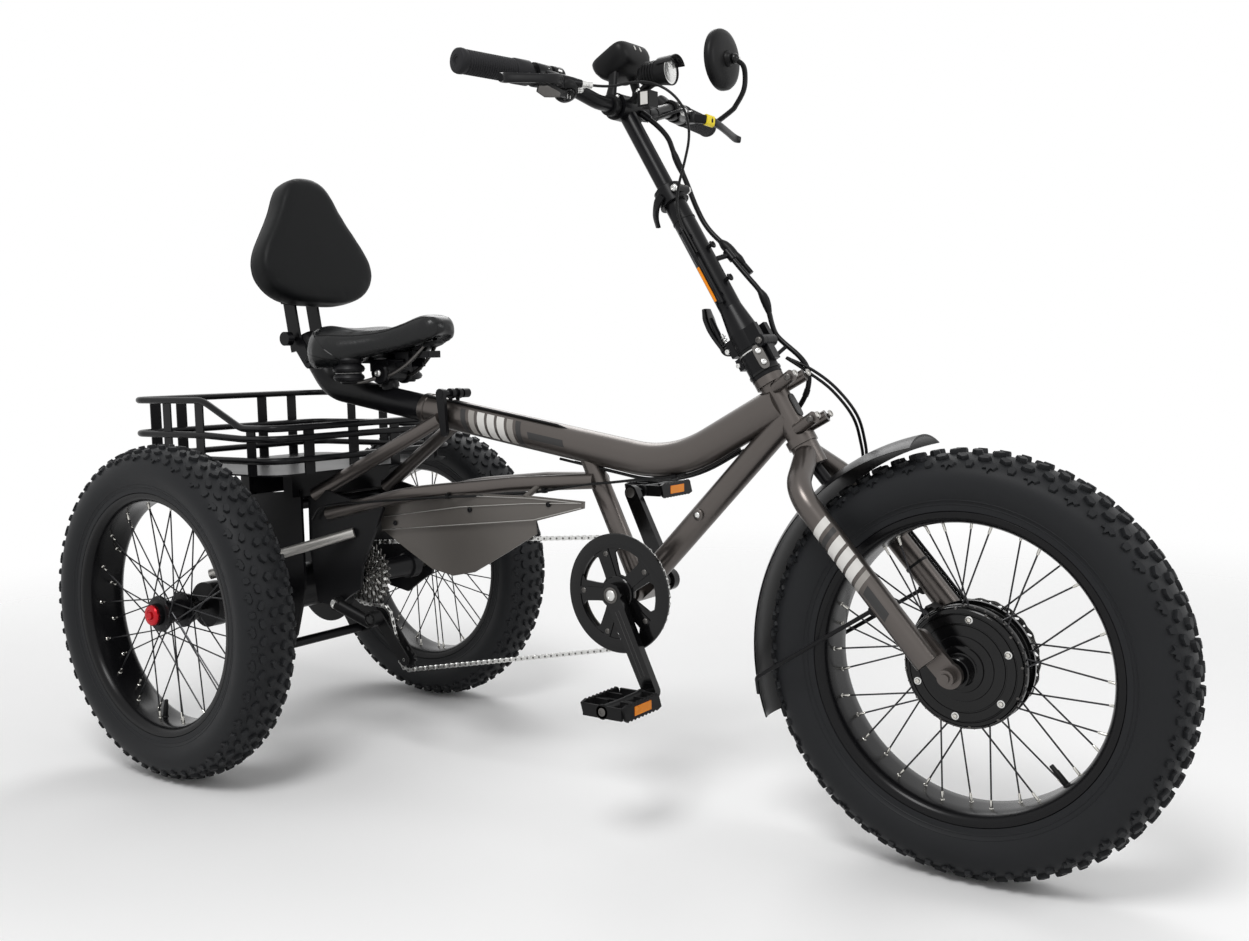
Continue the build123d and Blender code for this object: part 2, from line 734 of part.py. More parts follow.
def derailleur():
    """Rear derailleur: knuckle, parallelogram, cage and two pulleys."""
    guide = at(GUIDE_X, 0, GUIDE_Z)
    tension = at(TENSION_X, 0, TENSION_Z)
    hanger = at(172, 0, 282)
    outer = RING_Y - CHAIN_W / 2 - 5
    body = rod(Vector(hanger.X, -STAY_HALF - 18, hanger.Z),
               Vector(hanger.X, -STAY_HALF - PLATE_T / 2, hanger.Z), 12)
    knuckle = Vector(hanger.X, -STAY_HALF - 12, hanger.Z)
    joint = Vector(guide.X - 8, outer - 14, guide.Z - 8)
    body += rod(knuckle, joint, 11)
    body += disc(guide, 14, outer - 24, outer - 3)
    for y in (outer - 3, RING_Y + CHAIN_W / 2 + 3):
        a = Vector(guide.X, y + 1.5, guide.Z)
        b = Vector(tension.X, y + 1.5, tension.Z)
        body += link(a, b, 11, 11, 3)
    for centre in (guide, tension):
        body += disc(centre, 5, outer - 3, RING_Y + CHAIN_W / 2 + 6)
        body += disc(centre, PULLEY_R - CHAIN_H / 2 - 0.5, RING_Y - 1.5, RING_Y + 1.5)
    return body


PANEL_OUTLINE = [
    # distance ahead, height
    (262, 473), (447, 490), (605, 492), (711, 488), (710, 477), (609, 451), (262, 414),
]
SKIRT_OUTLINE = [
    # distance ahead, height
    (262, 416), (609, 452), (611, 431), (536, 390), (475, 358), (426, 348), (378, 356), (322, 384),
]


def chain_guard():
    """Folded sheet along the outside of the upper chain, on two brackets."""
    outer = GUARD_SHEET_Y
    fold = outer + 4
    panel = side_plate(PANEL_OUTLINE, outer, outer + 2)
    skirt = side_plate(SKIRT_OUTLINE, fold, fold + 2)
    corners = [PANEL_OUTLINE[-1], PANEL_OUTLINE[-2], SKIRT_OUTLINE[1], SKIRT_OUTLINE[0]]
    shelf = side_plate(corners, outer, fold + 2)
    rear = rod(at(284, outer + 1, 468), at(284, -STAY_HALF + PLATE_T / 2, 468), 6)
    front = rod(at(590, outer + 1, 488), at(596, -36, 506), 5)
    return panel + skirt + shelf + rear + front


# ---------------------------------------------------------------- basket
def rail(points, radii):
    return bent(points, radii, BASKET_TUBE_R)


def basket():
    """Tube basket with flat uprights and a sheet floor."""
    loops = []
    corner = BASKET_CORNER
    rows = [
        # height at the rear, height at the front
        (BASKET_TOP_Z, BASKET_DIP_Z),
        (BASKET_TOP_Z - BASKET_MID_DROP, BASKET_DIP_Z - 18),
    ]
    for rear_z, front_z in rows:
        for side in (-1, 1):
            points = [
                at(BASKET_REAR_X, 0, rear_z),
                at(BASKET_REAR_X, side * BASKET_HALF, rear_z),
                at(-20, side * BASKET_HALF, rear_z),
                at(85, side * BASKET_HALF, front_z),
                at(BASKET_FRONT_X, side * BASKET_HALF, front_z),
                at(BASKET_FRONT_X, 0, front_z),
            ]
            loops.append(rail(points, [corner, 90, 60, 30]))
    for side in (-1, 1):
        points = [
            at(BASKET_REAR_X, 0, BASKET_LOW_Z),
            at(BASKET_REAR_X, side * BASKET_HALF, BASKET_LOW_Z),
            at(BASKET_FRONT_X, side * BASKET_HALF, BASKET_LOW_Z),
            at(BASKET_FRONT_X, 0, BASKET_LOW_Z),
        ]
        loops.append(rail(points, [corner, corner]))
    width = 2 * BASKET_HALF
    length = BASKET_FRONT_X - BASKET_REAR_X
    middle = at((BASKET_FRONT_X + BASKET_REAR_X) / 2, 0, BASKET_FLOOR_Z)
    floor = Pos(middle) * Box(length, width, FLOOR_T)
    floor = fillet(floor.edges().filter_by(Axis.Z), corner)
    for y in (-145, -42, 60, 150):
        loops.append(strap(at(BASKET_FRONT_X, y, 0), 3, 22, BASKET_DIP_Z))
    for y in (-167, -110, 83, 160):
        loops.append(strap(at(BASKET_REAR_X, y, 0), 3, 22, BASKET_TOP_Z))
    for side in (-1, 1):
        for x in (-124, -30):
            loops.append(strap(at(x, side * BASKET_HALF, 0), 22, 3, BASKET_TOP_Z))
        loops.append(strap(at(110, side * BASKET_HALF, 0), 22, 3, BASKET_DIP_Z))
    return floor.fuse(*loops)


def strap(foot, along, across, top):
    """Flat upright from the floor to the top rail."""
    low = BASKET_FLOOR_Z - FLOOR_T / 2
    return Pos(foot.X, foot.Y, low) * Box(along, across, top - low, align=BASE)


# ---------------------------------------------------------------- seat
def seat_beam():
    """Bent beam that slides in the main tube, with the clamp that holds the saddle rails."""
    inner_end = COLLAR + MAIN_DIR * 110
    beam = bent([inner_end, BEAM_CORNER, BEAM_TOP], 75, BEAM_R)
    post = COLLAR - MAIN_DIR * 98
    beam += rod(post, post + Vector(6, 0, 66), 15)
    clamp = post + Vector(6, 0, 62)
    beam += Pos(clamp) * Box(44, 60, 20)
    for side in (-1, 1):
        rail_z = SADDLE_BASE_Z - SEAT_GAP - SADDLE_RAIL_R
        beam += rod(at(SADDLE_REAR_X + 60, side * 26, rail_z), at(SADDLE_REAR_X + 175, side * 22, rail_z),
                    SADDLE_RAIL_R)
    return beam


def seat_clamp():
    """Lugs, skewer and quick-release lever that pinch the main tube on the seat beam."""
    foot = COLLAR + MAIN_DIR * CLAMP_ALONG
    rise = Vector(-MAIN_DIR.Z, 0, MAIN_DIR.X)
    pin = foot + rise * (MAIN_R + 11)
    body = rod(pin + Vector(0, -MAIN_R - 12, 0), pin + Vector(0, MAIN_R + 5, 0), 5)
    body += rod(pin + Vector(0, MAIN_R - 8, 0), pin + Vector(0, MAIN_R + 7, 0), 8)
    body += rod(pin + Vector(0, -MAIN_R - 12, 0), pin + Vector(0, -MAIN_R + 2, 0), 8)
    for side in (-1, 1):
        low, high = sorted((side * 5, side * 13))
        lug = rod(pin + Vector(0, low, 0), pin + Vector(0, high, 0), 9)
        middle = Vector(0, (low + high) / 2, 0)
        web = rod(foot + rise * (MAIN_R - 6) + middle, pin + middle, 3.5)
        body += lug + web
    low = pin + Vector(6, -MAIN_R - 8, -66)
    body += link(pin + Vector(0, -MAIN_R - 8, 0), low, 9, 7, 7)
    return body - rod(COLLAR, COLLAR + MAIN_DIR * 150, MAIN_R + SEAT_GAP)


def saddle():
    """Wide sprung saddle with a raised nose."""
    rows = [
        # distance from the rear, half width, top above the base
        (0, 0.62, 60),
        (45, 1.0, 66),
        (110, 0.86, 52),
        (180, 0.42, 58),
        (235, 0.34, 76),
        (280, 0.22, 62),
    ]
    stretch = SADDLE_LEN / 280
    sections = []
    for x, share, top in rows:
        half = share * SADDLE_W / 2
        base = 0 if x < 150 else (x - 150) * 0.16
        origin = at(SADDLE_REAR_X + x * stretch, 0, SADDLE_BASE_Z + base)
        plane = Plane(origin=origin, x_dir=(0, 1, 0), z_dir=(1, 0, 0))
        edges = Line((-half, 14), (-half * 0.7, 0)) + Line((-half * 0.7, 0), (half * 0.7, 0))
        edges += Line((half * 0.7, 0), (half, 14))
        edges += ThreePointArc((half, 14), (0, top - base), (-half, 14))
        sections.append(plane * make_face(edges))
    return loft(sections, ruled=True)


def backrest_pad():
    """Pear-shaped pad, narrower at the top."""
    bottom_r = PAD_W * 0.30
    top_r = PAD_W * 0.20
    side = PAD_W / 2 - bottom_r
    low_left = Pos(-side, bottom_r) * Circle(bottom_r)
    low_right = Pos(side, bottom_r) * Circle(bottom_r)
    top = Pos(0, PAD_H - top_r) * Circle(top_r)
    shape = make_hull((low_left + low_right + top).edges())
    lean = radians(PAD_LEAN)
    plane = Plane(origin=at(PAD_X, 0, PAD_Z), x_dir=(0, 1, 0), z_dir=(cos(lean), 0, sin(lean)))
    pad = extrude(plane * shape, amount=-PAD_T)
    return fillet(pad.edges().filter_by(GeomType.BSPLINE, reverse=True), 9)


def backrest_bracket():
    """Two flat bars and a back plate that hold the pad on the beam, with the clamping knob."""
    lean = radians(PAD_LEAN)
    back = at(PAD_X, 0, PAD_Z) - Vector(cos(lean), 0, sin(lean)) * (PAD_T + SEAT_GAP + 2)
    plane = Plane(origin=back, x_dir=(0, 1, 0), z_dir=(cos(lean), 0, sin(lean)))
    body = plane * (Pos(0, 70, 0) * Box(120, 120, 4))
    for side in (-1, 1):
        body += plane * (Pos(side * (BEAM_R + SEAT_GAP + 2.5), 0, -17) * Box(5, 150, 30))
    knob = BEAM_TOP - BEAM_RISE * KNOB_DOWN - Vector(0, BEAM_R, 0)
    body += rod(knob, knob + Vector(0, -24, 0), 4)
    body += rod(knob + Vector(0, -16, 0), knob + Vector(0, -30, 0), 13)
    return body


# ---------------------------------------------------------------- steered pieces
def fork_point(share):
    """Point in the middle plane beside the straight length of a fork leg."""
    shoulder = on_axis(HEAD_LOW - LEG_TOP_DROP, -LEG_TOP_BACK)
    foot = FRONT_HUB + Vector(-LEG_FOOT_BACK, 0, LEG_FOOT_UP)
    return shoulder + (foot - shoulder) * share


def fork_leg(side, radius=FORK_LEG_R):
    crown = on_axis(HEAD_LOW - 14, 0, side * 6)
    shoulder = fork_point(0) + Vector(0, side * FORK_HALF, 0)
    foot = fork_point(1) + Vector(0, side * FORK_HALF, 0)
    return bent([crown, shoulder, foot], 58, radius)


def fork():
    """Unicrown fork with its steerer, dropouts and the fixed wheel axle."""
    body = rod(on_axis(HEAD_LOW - CROWN_DROP), on_axis(HEAD_LOW - SEAT_GAP), CROWN_R)
    for side in (-1, 1):
        body += fork_leg(side)
    body -= rod(on_axis(HEAD_LOW - SEAT_GAP), on_axis(HEAD_TOP), 3 * CROWN_R)
    body += rod(on_axis(HEAD_LOW - 6), on_axis(HEAD_TOP + 20), STEERER_R)
    for side in (-1, 1):
        low, high = sorted((side * FORK_SLOT, side * (FORK_SLOT + DROPOUT_T)))
        body += disc(FRONT_HUB, 17, low, high)
        middle = (low + high) / 2
        body += link(FRONT_HUB + Vector(-40, middle, 42), FRONT_HUB + Vector(0, middle, 0),
                     15, 15, DROPOUT_T)
        low, high = sorted((side * (FORK_SLOT + DROPOUT_T), side * (FORK_SLOT + DROPOUT_T + 14)))
        body += disc(FRONT_HUB, 11, low, high)
    body += disc(FRONT_HUB, FRONT_AXLE_R, -FORK_SLOT - 26, FORK_SLOT + 26)
    body += disc(FRONT_HUB, 10, -FORK_SLOT, -FORK_SLOT + 5)
    body += disc(FRONT_HUB, 10, FORK_SLOT - 5, FORK_SLOT)
    return body


def front_fender():
    """Fender round the back of the front wheel, with its wire stays and the bridge to the fork."""
    half, wall = FENDER_HALF, FENDER_T
    inner_edge = FENDER_EDGE_R - 0.5
    edges = ThreePointArc((FENDER_EDGE_R, -half), (FENDER_R, 0), (FENDER_EDGE_R, half))
    edges += ThreePointArc((inner_edge, -half + wall), (FENDER_R - wall, 0), (inner_edge, half - wall))
    for side in (-1, 1):
        edges += Line((FENDER_EDGE_R, side * half), (inner_edge, side * (half - wall)))
    shell = revolve(make_face(edges), axis=Axis.Y, revolution_arc=FENDER_END - FENDER_START)
    shell = Pos(FRONT_HUB) * Rot(0, -FENDER_END, 0) * shell
    wires = []
    for side in (-1, 1):
        tail = FRONT_HUB + polar(FENDER_EDGE_R + 2, FENDER_END - 7, side * (half - 2))
        clamp = fork_point(FENDER_CLAMP) + Vector(-FORK_LEG_R - 4, side * FORK_HALF, 0)
        elbow = FRONT_HUB + polar(FENDER_EDGE_R - 10, FENDER_END - 12, side * (half + 16))
        wires.append(bent([tail, elbow, clamp], [12], FENDER_WIRE_R))
        low, high = sorted((side * (FORK_HALF - 6), side * (FORK_HALF + 6)))
        wires.append(disc(Vector(clamp.X + 2, 0, clamp.Z), 7, low, high))
    hanger = on_axis(HEAD_LOW - CROWN_DROP - SEAT_GAP)
    reach = (hanger - FRONT_HUB).normalized()
    wires.append(rod(FRONT_HUB + reach * (FENDER_R - 1), hanger, 9))
    whole = shell.fuse(*wires)
    for side in (-1, 1):
        whole -= fork_leg(side, FORK_LEG_R + SEAT_GAP)
    return whole - rod(on_axis(HEAD_LOW - CROWN_DROP - SEAT_GAP), on_axis(HEAD_LOW), 2 * CROWN_R)


def front_caliper():
    """Disc brake caliper on the left fork leg, open to each side of the disc."""
    angle = 152
    edge = FRONT_HUB + polar(FRONT_DISC_R - 6, angle, 0)
    centre = Vector(edge.X, FRONT_DISC_Y + DISC_T / 2, edge.Z)
    body = Pos(centre) * Rot(0, -angle, 0) * Box(36, 38, 52)
    slot = disc(FRONT_HUB, FRONT_DISC_R + 6, FRONT_DISC_Y - 5, FRONT_DISC_Y + DISC_T + 5)
    near = Vector(edge.X, FORK_HALF, edge.Z)
    body += rod(centre + Vector(0, 16, 0), near, 8)
    body -= slot + disc(FRONT_HUB, MOTOR_FLANGE_R + 6, -MOTOR_W, MOTOR_W / 2 + 7)
    return body - fork_leg(1, FORK_LEG_R + SEAT_GAP) - link(
        FRONT_HUB + Vector(-40, FORK_SLOT + DROPOUT_T / 2, 42),
        FRONT_HUB + Vector(0, FORK_SLOT + DROPOUT_T / 2, 0),
        15 + SEAT_GAP, 15 + SEAT_GAP, DROPOUT_T + SEAT_GAP)


def stem_base():
    """Lower half of the folding hinge, clamped on the steerer."""
    body = rod(on_axis(HEAD_TOP + SEAT_GAP), on_axis(HINGE_UP - SEAT_GAP), BASE_R)
    knuckle = rod(on_axis(HINGE_UP, HINGE_AHEAD, -9), on_axis(HINGE_UP, HINGE_AHEAD, 9), 9)
    web = Pos(HINGE_AHEAD / 2 + 4, 0, HINGE_UP - 16) * Box(HINGE_AHEAD, 18, 30)
    web = STEER * web
    clear = STEER * (Pos(0, 0, HINGE_UP + 25 - SEAT_GAP) * Box(2 * HINGE_AHEAD - 20, 60, 50))
    base = body + web - clear
    for side in (-1, 1):
        low, high = sorted((side * 9.2, side * 26))
        base -= rod(on_axis(HINGE_UP, HINGE_AHEAD, low), on_axis(HINGE_UP, HINGE_AHEAD, high), 9.6)
    clip = rod(on_axis(HEAD_TOP + 25, 13, 19), on_axis(HEAD_TOP + 33, 29.5, 38.2), 3)
    return base + knuckle + clip - rod(on_axis(HEAD_TOP), on_axis(HEAD_TOP + 20), STEERER_R)


def stem_tube():
    """Upper half of the hinge with the lower stem tube and its latch lever."""
    body = rod(on_axis(HINGE_UP + SEAT_GAP), on_axis(HINGE_UP + 28), BASE_R)
    body += cone_rod(on_axis(HINGE_UP + 28), on_axis(HINGE_UP + 70), BASE_R, STEM_R)
    body += rod(on_axis(HINGE_UP + 70), on_axis(STEM_TOP), STEM_R)
    body += rod(on_axis(STEM_TOP - 26), on_axis(STEM_TOP), STEM_R + 5)
    for side in (-1, 1):
        low, high = sorted((side * 9.5, side * 20))
        body += rod(on_axis(HINGE_UP, HINGE_AHEAD, low), on_axis(HINGE_UP, HINGE_AHEAD, high), 9)
        web = Pos(HINGE_AHEAD / 2 + 6, (low + high) / 2, HINGE_UP + 14) * Box(HINGE_AHEAD, high - low, 27)
        body += STEER * web
    body -= rod(on_axis(HINGE_UP + 60), on_axis(STEM_TOP + 1), POST_R + RUNNING)
    body -= rod(on_axis(HINGE_UP, HINGE_AHEAD, -9.3), on_axis(HINGE_UP, HINGE_AHEAD, 9.3), 9.6)
    lever = bent([on_axis(HINGE_UP + 6, -BASE_R + 4), on_axis(HINGE_UP + 20, -BASE_R - 18),
                  on_axis(HINGE_UP + 76, -BASE_R - 16)], 8, 6)
    up, ahead, side = STEM_LOOM[0]
    up += HINGE_UP + HOLDER_UP
    holder = rod(on_axis(up, 8.7, 12.3), on_axis(up, ahead - 4, side - 2), 4)
    low = HINGE_UP + GUIDE_LOW
    _, ahead, side = RIGHT_CABLE[-1]
    guide = rod(on_axis(low, ahead, side), on_axis(low + GUIDE_LEN, ahead, side), GUIDE_R)
    for up in (low + 12, low + GUIDE_LEN - 12):
        guide += rod(on_axis(up, 3.7, -14), on_axis(up, ahead * 0.8, side * 0.8), 4)
    guide -= rod(on_axis(low - 1, ahead, side), on_axis(low + GUIDE_LEN + 1, ahead, side), GUIDE_BORE)
    front = Plane(origin=on_axis(low - 1, ahead + GUIDE_R, side), x_dir=AHEAD, z_dir=UP)
    guide -= front * Box(2 * GUIDE_R, 2 * GUIDE_R, GUIDE_LEN + 2, align=BASE)
    return body + lever + holder + gland(above(HINGE_UP, STEM_LOOM), 18) + guide


# ---------------------------------------------------------------- handlebar
def bar_post():
    """Sliding upper stem tube with the handlebar clamp."""
    body = rod(on_axis(HINGE_UP + 150), on_axis(BAR_UP - 8), POST_R)
    centre = on_axis(BAR_UP)
    body += rod(centre - Vector(0, 24, 0), centre + Vector(0, 24, 0), BAR_R + 9)
    body += gland(above(BAR_UP, BAR_LOOM), 16)
    return body - rod(centre - Vector(0, 30, 0), centre + Vector(0, 30, 0), BAR_R)


def bar_half(side):
    centre = on_axis(BAR_UP)
    return [
        centre,
        centre + Vector(0, side * 70, 0),
        centre + Vector(-BAR_SWEEP * 0.3, side * 150, BAR_RISE),
        centre + Vector(-BAR_SWEEP, side * BAR_HALF, BAR_RISE),
    ]


def handlebar():
    return bent(bar_half(-1), [60, 60], BAR_R) + bent(bar_half(1), [60, 60], BAR_R)


def grips():
    body = None
    for side in (-1, 1):
        points = bar_half(side)
        run = (points[3] - points[2]).normalized()
        inner = points[3] - run * GRIP_LEN
        grip = rod(inner, points[3] + run * 3, GRIP_R)
        grip -= rod(inner - run, points[3] + run * SEAT_GAP, BAR_R)
        body = grip if body is None else body + grip
    return body


def controls():
    """Brake levers with their clamps, and the shifter."""
    body = None
    for side in (-1, 1):
        points = bar_half(side)
        run = (points[3] - points[2]).normalized()
        place = points[3] - run * (GRIP_LEN + 22)
        clamp = rod(place - run * 12, place + run * 12, BAR_R + 6, BAR_R)
        housing = rod(place + Vector(14, 0, -6), place - run * 46 + Vector(32, 0, -10), 9)
        lever = bent([place + Vector(22, 0, -8), place + Vector(52, side * 20, -14),
                      place + Vector(38, side * 130, -30)],
                     18, 5)
        piece = clamp + housing + lever
        piece -= rod(points[2], points[3], BAR_R)
        body = piece if body is None else body + piece
    return body


def display():
    """Display unit on two arms from the handlebar."""
    centre = on_axis(BAR_UP) + Vector(0, 0, DISPLAY_UP)
    case = Pos(centre) * Rot(0, -DISPLAY_LEAN, 0) * fillet(Box(68, 84, 34).edges(), 12)
    for side in (-1, 1):
        foot = on_axis(BAR_UP) + Vector(0, side * 34, 0)
        case += rod(foot, foot + Vector(0, 0, DISPLAY_UP - 4), 6)
        case += disc(foot, BAR_R + 5, foot.Y - 7, foot.Y + 7)
    return case - rod(on_axis(BAR_UP) - Vector(0, 60, 0), on_axis(BAR_UP) + Vector(0, 60, 0), BAR_R)


def headlight():
    clamp = on_axis(BAR_UP)
    centre = clamp + Vector(58, 0, 44)
    lamp = cone_rod(centre - Vector(26, 0, 0), centre + Vector(28, 0, 0), 15, 21)
    lamp += rod(clamp + Vector(12, 0, 8), centre, 7)
    return lamp - disc(clamp, BAR_R + 9, -30, 30)


def mirror():
    """Round mirror on its bent arm, at the left end of the handlebar."""
    points = bar_half(1)
    tip = points[3]
    run = (tip - points[2]).normalized()
    centre = tip + Vector(*MIRROR_AT)
    head = rod(centre - Vector(MIRROR_T / 2, 0, 0), centre + Vector(MIRROR_T / 2, 0, 0), MIRROR_R)
    plug = tip + run * 9
    back = centre + Vector(MIRROR_T / 2 - 2, 0, 0)
    elbow = plug + Vector(*MIRROR_ELBOW)
    turn = elbow + Vector(*MIRROR_TURN)
    route = [plug, elbow, turn, back + Vector(22, 16, -10), back]
    arm = bent(route, [16, 16, 12], 4.5)
    return head + arm + rod(tip + run * 3.5, tip + run * 14, 9)


# ---------------------------------------------------------------- all pieces
def pieces():
    rear = TRACK / 2
    band = tyre()
    yield "front_tyre", put_wheel(band, WHEELBASE, 0)
    yield "front_rim", put_wheel(rim(MOTOR_FLANGE_R, MOTOR_W / 2 - 12, 14), WHEELBASE, 0)
    yield "hub_motor", put_wheel(hub_motor(), WHEELBASE, 0)
    yield "front_disc", put_wheel(brake_disc(FRONT_DISC_R, FRONT_DISC_Y, MOTOR_COLLAR_R), WHEELBASE, 0)
    for name, side in (("right", -1), ("left", 1)):
        yield name + "_tyre", put_wheel(band, 0, side * rear)
        yield name + "_rim", put_wheel(rim(REAR_FLANGE_R, REAR_HUB_OUT - 12, 62), 0, side * rear)
        yield name + "_hub", put_wheel(rear_hub(side), 0, side * rear)
    head = head_tube()
    main = main_tube()
    shell = bottom_bracket()
    yield "head_tube", head
    yield "main_tube", main
    yield "bottom_bracket", shell
    core = disc(BB, BB_R, -BB_HALF, BB_HALF)
    strut = rod(BB, STRUT_TOP, STRUT_R) - rod(COLLAR, BEND, MAIN_R) - shell - core
    yield "seat_strut", strut
    down = rod(BB, DOWN_TOP, DOWN_R) - shell - core - strut
    down -= bent([COLLAR, BEND, NECK], MAIN_BEND, MAIN_R)
    down -= rod(on_axis(HEAD_LOW - 20), on_axis(HEAD_TOP), HEAD_R)
    yield "down_tube", down + gland(frame_route()[::-1], 24)
    plates = dropouts()
    stays = chain_stays() - strut - plates
    yield "dropouts", plates
    yield "chain_stays", stays
    carrier = axle_carrier()
    bare = rod(COLLAR, BEND, MAIN_R)
    yield "seat_stays", seat_stays() - bare - stays - plates - carrier
    yield "axle_carrier", carrier
    yield "axle_unit", axle_unit()
    yield "axle_braces", axle_braces() - carrier
    yield "chain", chain()
    yield "chainring", chainring()
    yield "crank_arms", crank_arms()
    yield "right_pedal", pedal(-1)
    yield "left_pedal", pedal(1)
    yield "cassette", cassette()
    yield "derailleur", derailleur() - plates
    yield "chain_guard", chain_guard() - stays - plates
    yield "basket", basket()
    yield "seat_beam", seat_beam()
    yield "seat_clamp", seat_clamp()
    yield "saddle", saddle()
    yield "backrest_pad", backrest_pad()
    yield "backrest_bracket", backrest_bracket()
    yield "fork", fork()
    yield "front_fender", front_fender()
    yield "front_caliper", front_caliper()
    yield "stem_base", stem_base()
    yield "stem_tube", stem_tube()
    yield "bar_post", bar_post()
    yield "handlebar", handlebar()
    yield "grips", grips()
    yield "controls", controls()
    yield "display", display()
    yield "headlight", headlight()
    yield "mirror", mirror()
    yield "bar_loom", cord("bar_loom", above(BAR_UP, BAR_LOOM), LOOM_D)
    yield "right_cable", cord("right_cable", above(BAR_UP, RIGHT_CABLE), CABLE_D)
    yield "stem_loom", cord("stem_loom", above(HINGE_UP, STEM_LOOM), LOOM_D)
    yield "base_loom", cord("base_loom", above(HINGE_UP, BASE_LOOM), LOOM_D)
    yield "frame_loom", cord("frame_loom", frame_route(), LOOM_D)


os.makedirs("parts", exist_ok=True)
for name, shape in pieces():
    export_step(shape, "parts/" + name + ".step")
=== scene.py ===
from math import atan2, cos, degrees, hypot, pi, radians, sin, sqrt, tan

import bmesh
import bpy
from mathutils import Matrix, Vector
from mathutils.bvhtree import BVHTree


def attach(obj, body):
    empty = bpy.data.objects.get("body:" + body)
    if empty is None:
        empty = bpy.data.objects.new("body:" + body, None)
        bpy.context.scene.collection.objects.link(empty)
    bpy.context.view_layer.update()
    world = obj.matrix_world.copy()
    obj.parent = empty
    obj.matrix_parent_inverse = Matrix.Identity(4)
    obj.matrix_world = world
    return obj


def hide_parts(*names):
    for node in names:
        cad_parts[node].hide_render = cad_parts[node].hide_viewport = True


# Looks of the semi-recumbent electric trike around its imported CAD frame.
# Lengths are millimetres here and become metres when a mesh is made.
# +X is forward, +Y is the rider's left, +Z is up.  Places along the frame are ahead of the rear axle.

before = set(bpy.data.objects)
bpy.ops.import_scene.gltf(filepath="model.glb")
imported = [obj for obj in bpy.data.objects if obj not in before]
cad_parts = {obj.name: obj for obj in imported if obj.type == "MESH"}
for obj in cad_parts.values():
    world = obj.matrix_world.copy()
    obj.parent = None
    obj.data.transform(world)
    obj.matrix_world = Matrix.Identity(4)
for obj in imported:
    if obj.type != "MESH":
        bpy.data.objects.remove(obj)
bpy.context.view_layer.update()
MM = 0.001


def vec(x, y, z):
    return Vector((x, y, z))


# ---------------------------------------------------------------- driving dimensions, as in the part
WHEELBASE = 1294.0
TRACK = 642.0
TYRE_R = 290.0
HEAD_TILT = radians(30.5)
RAKE = 63.0
HEAD_LOW = 371.0
HEAD_TOP = HEAD_LOW + 112.0
HEAD_R = 18.5
MAIN_R = 26.5
MAIN_TILT = radians(9.5)
NECK_TILT = radians(27.9)
NECK_UP = 70.0
MAIN_BEND = 220.0
DOWN_UP = 46.0
BB_X = 765.0
BB_Z = 348.0
FORK_LEG_R = 17.0
FORK_HALF = 86.0
HINGE_UP = 531.0
HINGE_AHEAD = 25.0
STEM_R = 17.0
STEM_TOP = 812.0
POST_R = 13.0
BAR_UP = 962.0
BAR_R = 11.1
BAR_HALF = 320.0
BAR_SWEEP = 46.0
BAR_RISE = 22.0
GRIP_LEN = 120.0

FORWARD, LEFT, TOP = vec(1, 0, 0), vec(0, 1, 0), vec(0, 0, 1)
UP = vec(-sin(HEAD_TILT), 0, cos(HEAD_TILT))
AHEAD = vec(cos(HEAD_TILT), 0, sin(HEAD_TILT))
FRONT_HUB = vec(WHEELBASE / 2, 0, TYRE_R)
FOOT = FRONT_HUB - AHEAD * RAKE
SIDES = (-1, 1)           # right and left


def at(x, y, z):
    """Point from its distance ahead of the rear axle, to the left and above the ground."""
    return vec(x - WHEELBASE / 2, y, z)


def on_axis(up, ahead=0.0, side=0.0):
    """Point beside the steering axis, at a height along it above its foot."""
    return FOOT + UP * up + AHEAD * ahead + LEFT * side


def crossing(a, slope_a, b, slope_b):
    """Where two lines in the middle plane meet, each from a point and its rise towards the front."""
    x = (b.z - a.z + slope_a * a.x - slope_b * b.x) / (slope_a - slope_b)
    return vec(x, 0, a.z + slope_a * (x - a.x))


COLLAR = at(318, 0, 626)
NECK = on_axis(HEAD_LOW + NECK_UP)
BEND = crossing(COLLAR, -tan(MAIN_TILT), NECK, tan(NECK_TILT))
MAIN_DIR = (BEND - COLLAR).normalized()
NECK_DIR = (NECK - BEND).normalized()
BB = at(BB_X, 0, BB_Z)
DOWN_TOP = on_axis(HEAD_LOW + DOWN_UP)
HUBS = {"front": FRONT_HUB, "right": at(0, -TRACK / 2, TYRE_R), "left": at(0, TRACK / 2, TYRE_R)}


def linked(name, data):
    """New object with its data, in the scene."""
    made = bpy.data.objects.new(name, data)
    bpy.context.scene.collection.objects.link(made)
    return made


# ---------------------------------------------------------------- camera, light and floor
CAMERA_AT = vec(1.2166, -1.5912, 0.7041)
CAMERA_YAW = 0.6161
CAMERA_PITCH = -0.0886
CAMERA_ROLL = -0.0226
CAMERA_LENS = 35.80
WORLD_LIGHT = 0.5
LAMPS = [
    # name, place, aim, size, watts
    ("key", (0.7, -1.9, 3.1), (0.1, 0.0, 0.4), 1.3, 52),
    ("back", (-1.6, 2.0, 2.8), (0.0, 0.0, 0.5), 1.8, 30),
    ("front", (3.0, 0.6, 1.9), (0.4, 0.0, 0.5), 1.2, 16),
]
FLOOR_HALF = 14.0
FLOOR_FADE = (0.9, 3.4)    # metres from the middle over which the floor gives way to the white


